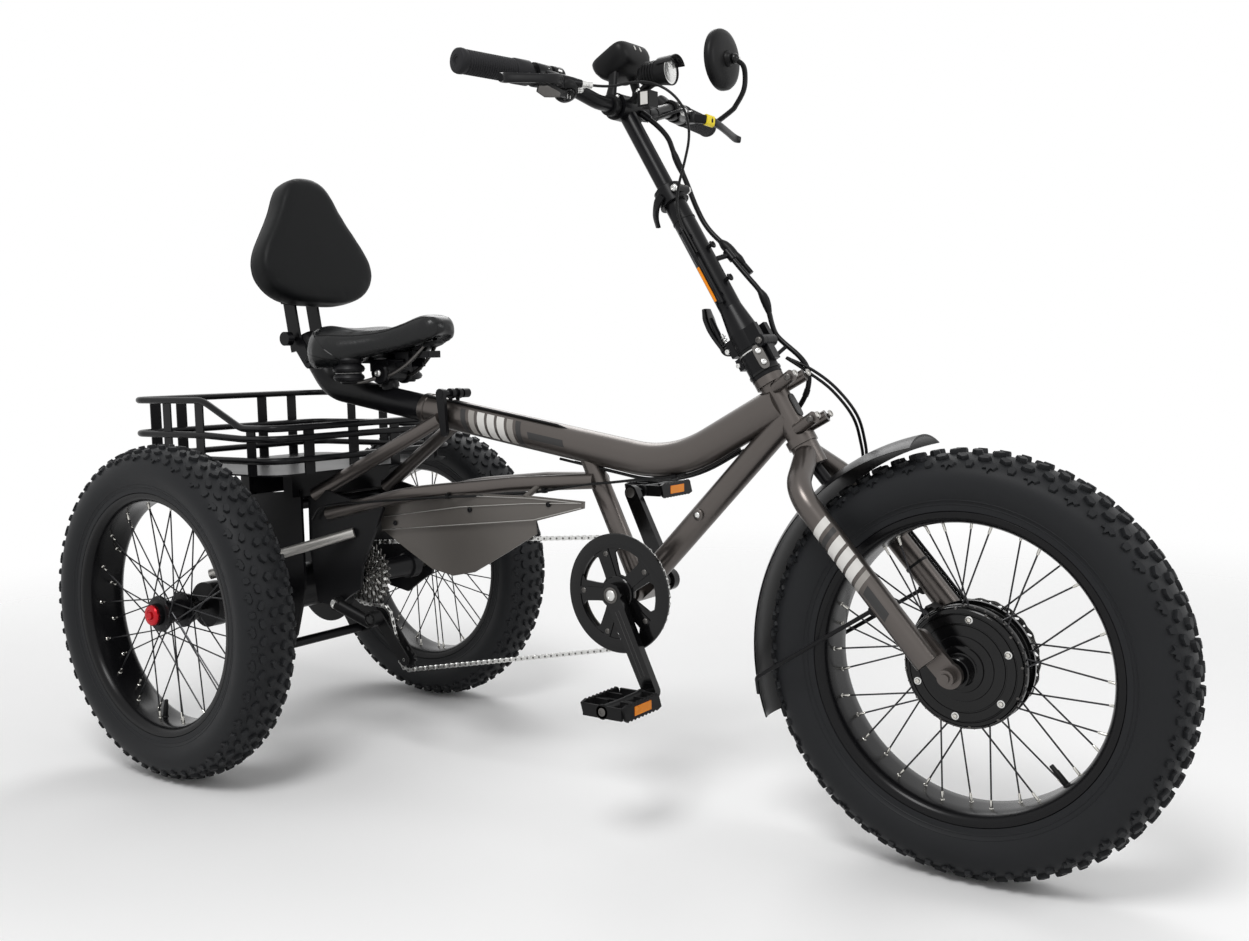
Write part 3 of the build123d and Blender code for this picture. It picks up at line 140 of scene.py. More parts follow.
def make_camera():
    data = bpy.data.cameras.new("camera")
    data.lens = CAMERA_LENS
    data.sensor_width = 36.0
    look = vec(-cos(CAMERA_PITCH) * sin(CAMERA_YAW), cos(CAMERA_PITCH) * cos(CAMERA_YAW), sin(CAMERA_PITCH))
    right = vec(cos(CAMERA_YAW), sin(CAMERA_YAW), 0)
    up = right.cross(look)
    across = right * cos(CAMERA_ROLL) + up * sin(CAMERA_ROLL)
    upward = up * cos(CAMERA_ROLL) - right * sin(CAMERA_ROLL)
    camera = linked("camera", data)
    turn = Matrix((across, upward, -look)).transposed().to_4x4()
    camera.matrix_world = Matrix.Translation(CAMERA_AT) @ turn
    bpy.context.scene.camera = camera


class Graph:
    """Node tree of a material or of the world."""

    def __init__(self, owner):
        owner.use_nodes = True
        self.nodes, self.link = owner.node_tree.nodes, owner.node_tree.links.new

    def set(self, node, inputs):
        """Give each input its value, or the output that feeds it."""
        for name, value in inputs.items():
            if isinstance(value, bpy.types.NodeSocket):
                self.link(value, node.inputs[name])
            else:
                node.inputs[name].default_value = value

    def add(self, kind, inputs, **settings):
        """Outputs of a new node."""
        node = self.nodes.new("ShaderNode" + kind)
        for name, value in settings.items():
            setattr(node, name, value)
        self.set(node, inputs)
        return node.outputs


def make_world():
    """White to the camera, to gloss and through glass, and a plain soft light to everything else."""
    world = bpy.data.worlds.new("studio")
    bpy.context.scene.world = world
    graph = Graph(world)
    rays = graph.add("LightPath", {})
    seen = rays["Is Camera Ray"]
    for more in ("Is Glossy Ray", "Is Transmission Ray"):
        seen = graph.add("Math", {0: seen, 1: rays[more]}, operation="MAXIMUM")[0]
    strength = graph.add("MapRange", {"Value": seen, "To Min": WORLD_LIGHT, "To Max": 1.0})["Result"]
    graph.set(graph.nodes["Background"], {"Color": (1, 1, 1, 1), "Strength": strength})


def make_lamps():
    for name, place, aim, size, watts in LAMPS:
        data = bpy.data.lights.new(name, "AREA")
        data.shape = "DISK"
        data.size = size
        data.energy = watts
        lamp = linked(name, data)
        lamp.location = place
        lamp.rotation_euler = (Vector(aim) - Vector(place)).to_track_quat("-Z", "Y").to_euler()


def make_floor():
    mesh = bpy.data.meshes.new("floor")
    corners = [vec(x, y, 0) * FLOOR_HALF for x, y in ((-1, -1), (1, -1), (1, 1), (-1, 1))]
    mesh.from_pydata(corners, [], [(0, 1, 2, 3)])
    material = finish_of("floor_white", (0.95, 0.95, 0.95), 0.85, vary=0.004, bump=0.0)
    graph = Graph(material)
    away = graph.add("VectorMath", {0: graph.add("TexCoord", {})["Object"]}, operation="LENGTH")["Value"]
    near, far = FLOOR_FADE
    fade = graph.add("MapRange", {"Value": away, "From Min": near, "From Max": far, "To Min": 1.0, "To Max": 0.0},
                     interpolation_type="SMOOTHSTEP")["Result"]
    graph.set(graph.nodes["Principled BSDF"], {"Alpha": fade})
    mesh.materials.append(material)
    floor = linked("floor", mesh)


# ---------------------------------------------------------------- materials
def tone(red, green, blue):
    """Linear colour from 0 to 255 screen values."""
    def linear(value):
        value /= 255
        return value / 12.92 if value <= 0.04045 else ((value + 0.055) / 1.055) ** 2.4
    return linear(red), linear(green), linear(blue)


def finish_of(name, colour, rough, metal=0.0, vary=0.10, blotch=9.0, grain=700.0, bump=0.12, depth=0.0003,
              rough_vary=0.05, coat=0.0, specular=0.5, cells=0.0, clear=0.0):
    """Material with a slow drift of colour, uneven gloss and a fine grain; cells gives a pebbled grain."""
    material = bpy.data.materials.new(name)
    graph = Graph(material)
    shader = graph.nodes["Principled BSDF"]
    place = graph.add("TexCoord", {})["Object"]

    def noise(scale, detail):
        return graph.add("TexNoise", {"Scale": scale, "Detail": detail, "Vector": place})["Fac"]

    slow = noise(blotch, 4.0)
    dark, light = ((*(min(1, c * share) for c in colour), 1) for share in (1 - vary, 1 + vary))
    mixed = graph.add("Mix", {"A": dark, "B": light, "Factor": slow}, data_type="RGBA")["Result"]
    gloss = graph.add("MapRange", {"Value": slow, "To Min": max(0.02, rough - rough_vary),
                                   "To Max": min(1.0, rough + rough_vary)})["Result"]
    graph.set(shader, {"Base Color": mixed, "Metallic": metal, "Roughness": gloss, "Coat Weight": coat,
                       "Coat Roughness": 0.12, "Specular IOR Level": specular})
    if bump:
        height = noise(grain, 2.0)
        if cells:
            pebbles = graph.add("TexVoronoi", {"Scale": cells, "Vector": place}, feature="SMOOTH_F1")["Distance"]
            height = graph.add("Math", {0: pebbles, 1: height}, operation="ADD")[0]
        relief = graph.add("Bump", {"Strength": bump, "Distance": depth, "Height": height})["Normal"]
        graph.set(shader, {"Normal": relief})
    if clear:
        graph.set(shader, {"Transmission Weight": clear, "IOR": 1.49})
    return material


FINISHES = [
    # name, screen colour, roughness and the rest of its finish
    ("frame_paint", (94, 89, 86), 0.30, dict(metal=0.85, vary=0.05, grain=2600, bump=0.06, depth=0.0001)),
    ("black_metal", (15, 15, 17), 0.30, dict(vary=0.14, grain=1500, bump=0.10, depth=0.00012, specular=0.16)),
    ("rim_black", (12, 12, 14), 0.26, dict(vary=0.12, grain=1200, bump=0.06, depth=0.0001, specular=0.2)),
    ("tyre_rubber", (30, 31, 33), 0.52, dict(vary=0.16, blotch=16, grain=900, bump=0.25, rough_vary=0.08,
                                             specular=0.18)),
    ("guard_metal", (98, 94, 90), 0.3, dict(metal=0.5, vary=0.06, grain=2000, bump=0.08, depth=0.0001)),
    # brace_metal is the real colour of the axle braces and bolts, and also colours the guard's ridges as painted
    # highlights
    ("brace_metal", (178, 176, 172), 0.34, dict(metal=0.85, vary=0.06, grain=1800, bump=0.08, depth=0.0001)),
    ("steel", (214, 214, 212), 0.28, dict(metal=1.0, vary=0.08, grain=1600, bump=0.08, depth=0.0001)),
    ("dark_steel", (96, 94, 92), 0.36, dict(metal=0.9, vary=0.12, grain=1600, bump=0.1, depth=0.0001)),
    ("black_plastic", (17, 17, 18), 0.42, dict(vary=0.12, grain=1900, bump=0.2, depth=0.0002, specular=0.16)),
    ("gloss_black", (9, 9, 10), 0.14, dict(grain=500, bump=0.03, depth=0.0001, specular=0.3)),
    ("grip_rubber", (34, 34, 36), 0.6, dict(vary=0.12, grain=1400, bump=0.3, specular=0.15)),
    ("upholstery", (15, 16, 17), 0.27, dict(blotch=12, grain=1800, bump=0.2, cells=620, specular=0.3)),
    ("pad_cover", (14, 15, 16), 0.45, dict(blotch=10, grain=1800, bump=0.3, cells=760, specular=0.14)),
    ("silver_nipple", (206, 204, 198), 0.22, dict(metal=1.0, vary=0.05, bump=0.0)),
    ("spoke", (52, 52, 54), 0.3, dict(metal=0.8, bump=0.0)),
    ("red_anodised", (190, 28, 38), 0.26, dict(metal=0.8, vary=0.08, grain=1800, bump=0.05, depth=0.0001)),
    ("amber", (236, 138, 8), 0.25, dict(vary=0.12, blotch=60, grain=380, bump=0.5, depth=0.0006, specular=0.3)),
    ("yellow_tag", (238, 214, 40), 0.45, dict(vary=0.05, bump=0.05)),
    ("light_print", (214, 212, 208), 0.42, dict(vary=0.03, bump=0.0)),
    ("dark_print", (38, 37, 37), 0.42, dict(vary=0.05, bump=0.0)),
    ("mid_print", (150, 146, 141), 0.42, dict(vary=0.03, bump=0.0)),
    ("cable", (15, 15, 16), 0.32, dict(grain=1500, bump=0.08, depth=0.0001, specular=0.2)),
    ("mirror_glass", (226, 230, 234), 0.03, dict(metal=1.0, vary=0.01, bump=0.0, rough_vary=0.0)),
    ("reflector", (232, 232, 230), 0.10, dict(metal=1.0, vary=0.02, blotch=40, grain=160, bump=0.25, depth=0.0008)),
    ("lens", (252.74, 252.74, 252.74), 0.03, dict(vary=0.02, bump=0.0, rough_vary=0.01, clear=0.92)),
    ("screen", (14, 15, 18), 0.08, dict(vary=0.05, bump=0.0, coat=0.6)),
    ("elastomer", (20, 20, 22), 0.4, dict(grain=900, bump=0.15, depth=0.0002, specular=0.2)),
]
MATS = {name: finish_of(name, tone(*colour), rough, **more) for name, colour, rough, more in FINISHES}


# ---------------------------------------------------------------- making meshes
class Form:
    """Faces of one piece, gathered in millimetres, each with the name of its material."""

    def __init__(self):
        self.points, self.faces, self.names = [], [], []

    def add(self, part, name):
        points, faces = part
        start = len(self.points)
        self.points += points
        self.faces += [tuple(index + start for index in face) for face in faces]
        self.names += [name] * len(faces)
        return self


def mesh_of(name, points, faces, names, bevel=0.0):
    """Mesh in metres, its materials given by a name for each face."""
    mesh = bpy.data.meshes.new(name)
    mesh.from_pydata([tuple(c * MM for c in p) for p in points], [], faces)
    order = sorted(set(names))
    for used in order:
        mesh.materials.append(MATS[used])
    for polygon, used in zip(mesh.polygons, names):
        polygon.material_index = order.index(used)
    work = bmesh.new()
    work.from_mesh(mesh)
    bmesh.ops.recalc_face_normals(work, faces=work.faces)
    if bevel:
        hard = [e for e in work.edges if len(e.link_faces) == 2 and e.calc_face_angle(0) > radians(40)]
        bmesh.ops.bevel(work, geom=hard, offset=bevel * MM, segments=2, affect="EDGES", clamp_overlap=True,
                        material=-1)
    work.to_mesh(mesh)
    work.free()
    return mesh


def make_piece(name, body, form, bevel=0.0, replaces=(), sharp=38.0):
    """Object from a form, riding on a CAD body, with its edges slightly rounded where bevel is given."""
    mesh = mesh_of(name, form.points, form.faces, form.names, bevel)
    mesh.polygons.foreach_set("use_smooth", [True] * len(mesh.polygons))
    mesh.set_sharp_from_angle(angle=radians(sharp))
    made = linked(name, mesh)
    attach(made, body)
    if replaces:
        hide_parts(*replaces)
    return made


def plane_of(origin, x_dir, z_dir):
    """Placement whose x and z axes point along two directions."""
    z = Vector(z_dir).normalized()
    x = Vector(x_dir)
    x = (x - z * x.dot(z)).normalized()
    turn = Matrix((x, z.cross(x), z)).transposed().to_4x4()
    return Matrix.Translation(Vector(origin)) @ turn


def moved(part, place):
    points, faces = part
    return [place @ Vector(p) for p in points], faces


def strips(rows, count, ends=False):
    """Faces between rows of points that are rings of a count, and over both ends where asked."""
    faces = []
    for start in range(0, (rows - 1) * count, count):
        for i in range(count):
            k = (i + 1) % count
            faces.append((start + i, start + k, start + count + k, start + count + i))
    if ends:
        faces += [tuple(range(count)), tuple((rows - 1) * count + i for i in range(count))]
    return faces


def fanned(points, count, first, last):
    """Rings of a count of points, with a fan to a middle point over each end."""
    rows = len(points) // count
    faces = strips(rows, count)
    for start, middle in ((0, first), ((rows - 1) * count, last)):
        faces += [(start + i, start + (i + 1) % count, len(points)) for i in range(count)]
        points = points + [middle]
    return points, faces


def turned(profile, centre, axis, sides=48, closed=False, sweep=(0.0, 360.0), zero=None):
    """Surface turned about an axis from (radius, distance along) points; a closed profile is a loop."""
    w = Vector(axis).normalized()
    u = Vector(zero) if zero else w.orthogonal()
    u = (u - w * u.dot(w)).normalized()
    v = w.cross(u)
    whole = sweep[1] == 360.0
    rings = sides if whole else sides + 1
    count = len(profile)
    points, faces = [], []
    for j in range(rings):
        angle = radians(sweep[0] + sweep[1] * j / sides)
        way = u * cos(angle) + v * sin(angle)
        points += [Vector(centre) + way * r + w * t for r, t in profile]
    for j in range(sides):
        k = (j + 1) % rings
        for i in range(count if closed else count - 1):
            n = (i + 1) % count
            faces.append((j * count + i, k * count + i, k * count + n, j * count + n))
    if whole and not closed:
        faces += [tuple(j * count + i for j in range(rings)) for i in (0, count - 1) if profile[i][0] > 0]
    if not whole and closed:
        faces += [tuple(start + i for i in range(count)) for start in (0, (rings - 1) * count)]
    return points, faces


def rod(a, b, radius, end=None, sides=20):
    a, b = Vector(a), Vector(b)
    return turned([(radius, 0), (end or radius, (b - a).length)], a, b - a, sides)


def disc(radius, low, high, centre, axis, sides=8):
    return turned([(radius, low), (radius, high)], centre, axis, sides)


def cuff(inner, outer, half, edge=0.6, drop=1.0):
    """Closed profile of a clamp round a bar, its outer corners broken."""
    return [(inner, -half), (outer - edge, -half), (outer, drop - half), (outer, half - drop), (outer - edge, half),
            (inner, half)]


def ring(inner, outer, half, outer_half=None):
    """Closed profile of a thin ring round a tube, whose outside may be narrower."""
    edge = outer_half or half
    return [(inner, -half), (outer, -edge), (outer, edge), (inner, half)]


def button(centre, axis, radius, height, sides=18, socket=0.45):
    """Domed screw head with a hexagon socket; axis points out of the surface."""
    deep = height * 0.45
    return turned([(radius, -0.4), (radius, height * 0.35), (radius * 0.82, height * 0.82),
                   (radius * socket * 1.15, height), (radius * socket, height),
                   (radius * socket * 0.92, height - deep)], centre, axis, sides)


def hex_nut(centre, axis, across, height):
    radius = across / sqrt(3)
    return turned([(radius, 0), (radius, height * 0.86), (radius * 0.88, height)], centre, axis, 6)


def frames_along(path):
    """Tangent and two normals at each point of a route, without twist."""
    count = len(path)
    tangents = [(path[min(i + 1, count - 1)] - path[max(i - 1, 0)]).normalized() for i in range(count)]
    side = tangents[0].orthogonal().normalized()
    frames = []
    for tangent in tangents:
        side = (side - tangent * side.dot(tangent)).normalized()
        frames.append((tangent, side, tangent.cross(side)))
    return frames


def tube(path, radius, sides=12):
    """Round bar along a route; the radius may be one for each point."""
    path = [Vector(p) for p in path]
    radii = radius if isinstance(radius, list) else [radius] * len(path)
    turns = [2 * pi * j / sides for j in range(sides)]
    points = [place + (u * cos(a) + v * sin(a)) * r for place, r, (_, u, v) in zip(path, radii, frames_along(path))
              for a in turns]
    return points, strips(len(path), sides, ends=True)


def eased(points, steps=8):
    """Smooth route through given points."""
    points = [Vector(p) for p in points]
    ends = [points[0] * 2 - points[1]] + points + [points[-1] * 2 - points[-2]]
    route = []
    for p0, p1, p2, p3 in zip(ends, ends[1:], ends[2:], ends[3:]):
        for j in range(steps):
            t = j / steps
            route.append(p1 * (1 - t) + p2 * t + (
                (p2 - p0) * (t * (1 - t) ** 2) - (p3 - p1) * (t * t * (1 - t))) * 0.5
                + (p1 - p2) * ((1 - t) * t * (1 - 2 * t)))
    route.append(points[-1])
    return route


def slab(outline, low, high, place=None):
    """Prism from an outline in a placement's xy plane, between two heights along its z."""
    points = [vec(x, y, z) for z in (low, high) for x, y in outline]
    part = (points, strips(2, len(outline), ends=True))
    return moved(part, place) if place else part


def block(centre, size, place=None):
    x, y, z = (s / 2 for s in size)
    shift = Matrix.Translation(Vector(centre))
    return slab([(-x, -y), (x, -y), (x, y), (-x, y)], -z, z, place @ shift if place else shift)


def swollen(value, power):
    """Share of a rounded rectangle's half side, from a sine or cosine."""
    return abs(value) ** power * (1 if value > 0 else -1)


def oval(length, width, sides=24, power=2.5):
    """Rounded oblong outline."""
    turns = [2 * pi * i / sides for i in range(sides)]
    return [(swollen(cos(a), 2 / power) * length / 2, swollen(sin(a), 2 / power) * width / 2) for a in turns]


def circle(radius, sides=10, x=0.0, y=0.0):
    return [(x + radius * cos(2 * pi * i / sides), y + radius * sin(2 * pi * i / sides)) for i in range(sides)]


def cutout(loops, thick, place):
    """Flat plate with holes: the first loop is its edge and the others are the holes."""
    data = bpy.data.curves.new("plate", "CURVE")
    data.dimensions = "2D"
    data.fill_mode = "BOTH"
    data.extrude = thick / 2
    for loop in loops:
        spline = data.splines.new("POLY")
        spline.points.add(len(loop) - 1)
        for point, (x, y) in zip(spline.points, loop):
            point.co = (x, y, 0, 1)
        spline.use_cyclic_u = True
    holder = bpy.data.objects.new("plate", data)
    mesh = bpy.data.meshes.new_from_object(holder)
    work = bmesh.new()
    work.from_mesh(mesh)
    bmesh.ops.remove_doubles(work, verts=work.verts, dist=0.001)
    part = moved(listed(work), place)
    bpy.data.objects.remove(holder)
    bpy.data.curves.remove(data)
    bpy.data.meshes.remove(mesh)
    return part


def listed(work):
    """Points and faces of a bmesh, which is freed."""
    work.verts.index_update()
    part = [v.co.copy() for v in work.verts], [tuple(v.index for v in f.verts) for f in work.faces]
    work.free()
    return part


PRINT_LIFT = 0.2
PRINT_STEPS = (12.0, 8.0)      # greatest length and turn of one face of a print, in mm and degrees


def wrapped(outline, radius, along):
    """Thin print on a tube: an outline of (distance along, degrees round) points.

    along(distance) gives the place, the direction and the zero direction on the tube's middle line."""
    work = bmesh.new()
    work.faces.new([work.verts.new((x, a, 0)) for x, a in outline])
    for axis in (1, 0):
        values = [corner[axis] for corner in outline]
        low, high = min(values), max(values)
        normal = (1 - axis, axis, 0)
        cuts = int((high - low) / PRINT_STEPS[axis]) + 1
        for i in range(1, cuts):
            level = Vector(normal) * (low + (high - low) * i / cuts)
            geometry = work.verts[:] + work.edges[:] + work.faces[:]
            bmesh.ops.bisect_plane(work, geom=geometry, plane_co=level, plane_no=normal)
    flat, faces = listed(work)
    points = []
    for spot in flat:
        place, way, zero = along(spot.x)
        angle = radians(spot.y)
        points.append(place + (zero * cos(angle) + way.cross(zero) * sin(angle)) * (radius + PRINT_LIFT))
    return points, faces


def straight(a, b, zero):
    """Line for wrapped prints from a towards b."""
    way = (b - a).normalized()
    zero = (zero - way * zero.dot(way)).normalized()
    return lambda distance: (a + way * distance, way, zero)


def blade(path, widths, thicks, across, sides=14):
    """Flat bar along a route, with a rounded section whose wide way is near a direction."""
    path = [Vector(p) for p in path]
    widths, thicks = spread(widths, len(path)), spread(thicks, len(path))
    points = []
    for i, place in enumerate(path):
        way = (path[min(i + 1, len(path) - 1)] - path[max(i - 1, 0)]).normalized()
        wide = Vector(across)
        wide = (wide - way * wide.dot(way)).normalized()
        thin = way.cross(wide)
        for j in range(sides):
            a = 2 * pi * j / sides
            points.append(place + wide * (swollen(cos(a), 0.6) * widths[i] / 2)
                          + thin * (swollen(sin(a), 0.6) * thicks[i] / 2))
    return points, strips(len(path), sides, ends=True)


def spread(values, count):
    """Values at even steps along a short list."""
    made = []
    for i in range(count):
        place = i / (count - 1) * (len(values) - 1)
        low = min(int(place), len(values) - 2)
        made.append(values[low] + (values[low + 1] - values[low]) * (place - low))
    return made


# ---------------------------------------------------------------- tyres
LUG_PITCHES = 31
CROWN_R = 283.5
TREAD_HALF = [
    # radius, side; from the crown down to the bead, without the lugs
    (CROWN_R, 0), (283.2, 7), (282.2, 14.5), (280.3, 22), (277.6, 29), (274.2, 35.4), (270.0, 40.6), (264.6, 44.8),
    (258.0, 47.8), (250.5, 49.4), (243.0, 49.7), (235.6, 48.4), (229.4, 46.2), (225.2, 44.2), (224.4, 44.5),
    (223.4, 43.4), (219.6, 41.9), (218.8, 42.2), (217.9, 41.3), (214.2, 40.6), (211.6, 40.7), (210.0, 40.2),
    (209.9, 37.6), (204.0, 36.4), (201.0, 30.0),
]
LUGS = [
    # height, share of a pitch from the start, outline of (mm along the crown, mm across from the middle)
    (3.6, 0.00, [(-10.5, 42.5), (-6, 47.5), (-1.5, 45.5), (2, 52), (5.5, 45.5), (10.5, 46.5), (8.5, 41.0),
                 (2, 39.5), (-5, 38.5)]),
    (4.4, 0.50, [(-6, 41), (-4.5, 46.5), (3.5, 47.5), (6, 42.5), (4.5, 37.5), (-3.5, 36.5)]),
    (5.6, 0.22, [(-8.5, 27), (-6, 32.5), (2.5, 34.0), (8.5, 31.5), (7.0, 26.5), (-2.5, 23.5)]),
    (5.6, 0.74, [(-8.0, 31.5), (-2.0, 34.5), (8.0, 29.0), (7.5, 24.0), (1.5, 22.5), (-7.5, 26.5)]),
    (6.2, 0.02, [(-8.5, 7.0), (-3.5, 13.0), (4.5, 15.0), (7.5, 11.5), (3.0, 6.0), (-4.5, 2.6)]),
    (6.2, 0.50, [(-7.5, 13.5), (0.0, 16.0), (7.5, 10.5), (6.5, 4.5), (0.0, 3.0), (-6.5, 7.5)]),
]


def skin_at(distance):
    """Radius, side and outward direction of the tyre's skin at a distance across it from the crown."""
    walked = 0.0
    for (r0, y0), (r1, y1) in zip(TREAD_HALF, TREAD_HALF[1:]):
        span = hypot(r1 - r0, y1 - y0)
        if walked + span >= distance:
            share = (distance - walked) / span
            return r0 + (r1 - r0) * share, y0 + (y1 - y0) * share, ((y1 - y0) / span, (r0 - r1) / span)
        walked += span
    return (*TREAD_HALF[-1], (0, 1))


def wheel_point(hub, radius, angle, side):
    return hub + vec(radius * cos(angle), side, radius * sin(angle))


def lug(hub, outline, height, along, side):
    """One tread block, drafted towards its top."""
    count = len(outline)
    middle = [sum(corner[k] for corner in outline) / count for k in (0, 1)]
    points = []
    for shrink, lift in ((1.06, -0.8), (0.97, height * 0.62), (0.84, height)):
        for corner in outline:
            s, t = (m + (c - m) * shrink for c, m in zip(corner, middle))
            r, y, (out_r, out_y) = skin_at(abs(t))
            points.append(wheel_point(hub, r + out_r * lift, (along + s) / CROWN_R, side * (y + out_y * lift)))
    return points, strips(3, count) + [tuple(2 * count + i for i in range(count))]


def mirrored(half):
    """Profile across a wheel from its outer half, from side to side."""
    return [(r, -y) for r, y in half[:0:-1]] + half


def tyre(name):
    hub = HUBS[name]
    form = Form()
    profile = [(r, y) for r, y in reversed(TREAD_HALF)] + [(r, -y) for r, y in TREAD_HALF[1:]]
    form.add(turned(profile, hub, LEFT, 168, closed=True, zero=FORWARD), "tyre_rubber")
    pitch = 2 * pi * CROWN_R / LUG_PITCHES
    for i in range(LUG_PITCHES):
        for side in SIDES:
            for height, place, outline in LUGS:
                along = i + place + (0.5 if side > 0 else 0.0)
                form.add(lug(hub, outline, height, along * pitch, side), "tyre_rubber")
    make_piece(name + "_tyre_tread", name + "_wheel", form, replaces=[name + "_tyre"], sharp=30)


# ---------------------------------------------------------------- rims and spokes
SPOKES = 36
SPOKE_R = 1.25
RIM_HALF = [
    # radius, side; from the middle of the wall that faces the hub, round to the middle of the tyre's bed
    (192.4, 12), (193.0, 27), (195.5, 33.5), (199.5, 38.6), (203.0, 40.0), (208.6, 40.2), (209.7, 39.2),
    (209.4, 37.4), (204.0, 37.0), (200.6, 36.0),
]


def rim(name, flange_r, flange_y, lace, valve_angle):
    hub = HUBS[name]
    form = Form()
    loop = RIM_HALF + [(200.0, 0)] + [(r, -y) for r, y in reversed(RIM_HALF)]
    form.add(turned(loop, hub, LEFT, 168, closed=True), "rim_black")
    for i in range(SPOKES):
        angle = 360 / SPOKES * i
        side = 1 if i % 2 else -1
        lean = 1 if i % 4 < 2 else -1
        foot = wheel_point(hub, flange_r - 3, radians(angle + lean * lace), side * flange_y + lean * 2)
        tip = wheel_point(hub, 194.0, radians(angle), side * 10)
        run = (foot - tip).normalized()
        form.add(rod(foot, tip + run * 10, SPOKE_R, sides=8), "spoke")
        form.add(turned([(3.6, -1.0), (3.2, 2.0), (2.1, 3.0), (2.0, 12.5), (1.4, 14.0)], tip, run, 10),
                 "silver_nipple")
        form.add(turned([(2.6, -1.6), (2.9, 0.4), (1.7, 1.6)], foot, LEFT * lean, 8), "spoke")
    stem = wheel_point(hub, 193.5, radians(valve_angle), 0)
    form.add(turned([(6.5, -2), (6.2, 1.0), (4.4, 3.0), (4.2, 22), (3.4, 23), (3.2, 31), (2.4, 32)], stem, hub - stem,
                    16), "black_plastic")
    make_piece(name + "_rim_spokes", name + "_wheel", form, replaces=[name + "_rim"])


# ---------------------------------------------------------------- hubs, motor and brake discs
MOTOR_HALF = [
    # radius, side outwards from the middle; the outside of one half of the motor
    (77.5, 0.0), (77.5, 12.4), (78.6, 13.4), (83.5, 13.6), (83.5, 18.4), (82.9, 20.2), (81.4, 20.8), (81.0, 22.4),
    (79.4, 25.0), (76.5, 27.0), (73.4, 27.4), (72.6, 26.2), (71.6, 26.2), (70.8, 27.6), (60.0, 28.4), (59.4, 27.4),
    (58.0, 27.4), (57.4, 28.8), (44.0, 30.0), (43.2, 31.6), (40.0, 32.2), (31.5, 32.6), (30.6, 35.2), (27.5, 36.6),
    (22.4, 37.0), (21.0, 38.5), (20.8, 60.4), (19.6, 61.5), (6.4, 61.5),
]
DISC_R = 82.0
DISC_Y = 42.0
DISC_T = 2.0


def hub_motor():
    form = Form()
    form.add(turned(mirrored(MOTOR_HALF), FRONT_HUB, LEFT, 120, closed=True), "gloss_black")
    for side in SIDES:
        out = LEFT * side
        for i in range(6):
            place = wheel_point(FRONT_HUB, 66.0, radians(60 * i + 22), side * 28.0)
            form.add(turned([(5.2, -0.5), (5.2, 0.7), (4.6, 1.0)], place, out, 16), "steel")
            form.add(button(place + out * 0.8, out, 3.6, 2.4), "silver_nipple")
        for i in range(12):
            place = wheel_point(FRONT_HUB, 79.0, radians(30 * i + 7), side * 25.6)
            form.add(button(place, out, 2.0, 1.6, 12), "dark_steel")
        for i in range(36):
            place = wheel_point(FRONT_HUB, 82.0, radians(10 * i), side * 20.4)
            form.add(disc(1.5, -0.3, 0.25, place, out), "dark_steel")
    make_piece("motor_shell", "front_wheel", form, replaces=["hub_motor"], sharp=28)


def wavy(radius, depth, waves, steps=8):
    loop = []
    for i in range(waves * steps):
        r = radius - depth * (0.5 - 0.5 * cos(2 * pi * i / steps))
        a = 2 * pi * i / (waves * steps)
        loop.append((r * cos(a), r * sin(a)))
    return loop


def slot_hole(x, y, length, width, turn, sides=12):
    """Oblong hole turned in its plate."""
    reach = (length - width) / 2
    loop = []
    for px, py in circle(width / 2, sides):
        px += reach if px >= 0 else -reach
        loop.append((x + px * cos(turn) - py * sin(turn), y + px * sin(turn) + py * cos(turn)))
    return loop


def rotor():
    """Vented brake disc with wavy edge and oblong holes, on its five-armed carrier."""
    form = Form()
    place = plane_of(FRONT_HUB + LEFT * (DISC_Y + DISC_T / 2), FORWARD, LEFT)
    loops = [wavy(DISC_R, 1.6, 24), wavy(65.0, -1.4, 15, 6)]
    for i in range(36):
        a = 2 * pi * i / 36
        slot_r, hole_r, lean = (76.6, 70.6, 0.9) if i % 2 else (70.8, 77.2, 2.2)
        loops.append(slot_hole(slot_r * cos(a), slot_r * sin(a), 6.6, 3.0, a + lean))
        loops.append(circle(1.5, 8, hole_r * cos(a), hole_r * sin(a)))
    form.add(cutout(loops, DISC_T - 0.1, place), "steel")
    carrier = []
    for i in range(5):
        for share, r in ((0.0, 31.0), (0.30, 31.0), (0.36, 44.0), (0.52, 66.6), (0.66, 66.6), (0.56, 44.0),
                         (0.62, 31.0)):
            a = 2 * pi / 5 * (i + share * 1.1)
            carrier.append((r * cos(a), r * sin(a)))
    form.add(cutout([carrier, circle(21.6, 40)], DISC_T + 0.3, place), "steel")
    for i in range(5):
        a = 2 * pi * (i + 0.28) / 5
        for side in (1, -1):
            spot = place @ vec(26.5 * cos(a), 26.5 * sin(a), side * (DISC_T / 2 + 0.1))
            form.add(button(spot, LEFT * side, 3.4, 1.8, 14), "dark_steel")
    make_piece("front_rotor", "front_wheel", form, replaces=["front_disc"], sharp=30)


def rear_hub_caps():
    for name, side in (("right", -1), ("left", 1)):
        hub = HUBS[name]
        out = LEFT * side
        form = Form()
        for look, profile in (
                ("red_anodised", [(17.5, 33.6), (17.9, 34.4), (17.9, 38.6), (16.4, 40.6), (10.2, 41.4), (9.4, 40.4),
                                  (6.6, 40.3)]),
                ("black_metal", [(23.4, 20.0), (23.6, 25.0), (22.2, 25.9), (19.6, 26.2)]),
                ("gloss_black", [(25.6, -36.0), (26.0, -34.5), (26.0, -30.0), (24.4, -28.6)])):
            form.add(turned(profile, hub, out, 40), look)
        form.add(hex_nut(hub + out * 40.0, out, 12.0, 3.4), "red_anodised")
        for i in range(36):
            for flange in (22.0, -22.0):
                place = wheel_point(hub, 28.2, radians(10 * i), side * (flange + 2.1))
                form.add(disc(1.5, -0.2, 0.3, place, out), "spoke")
        make_piece(name + "_hub_cap", name + "_wheel", form, sharp=32)


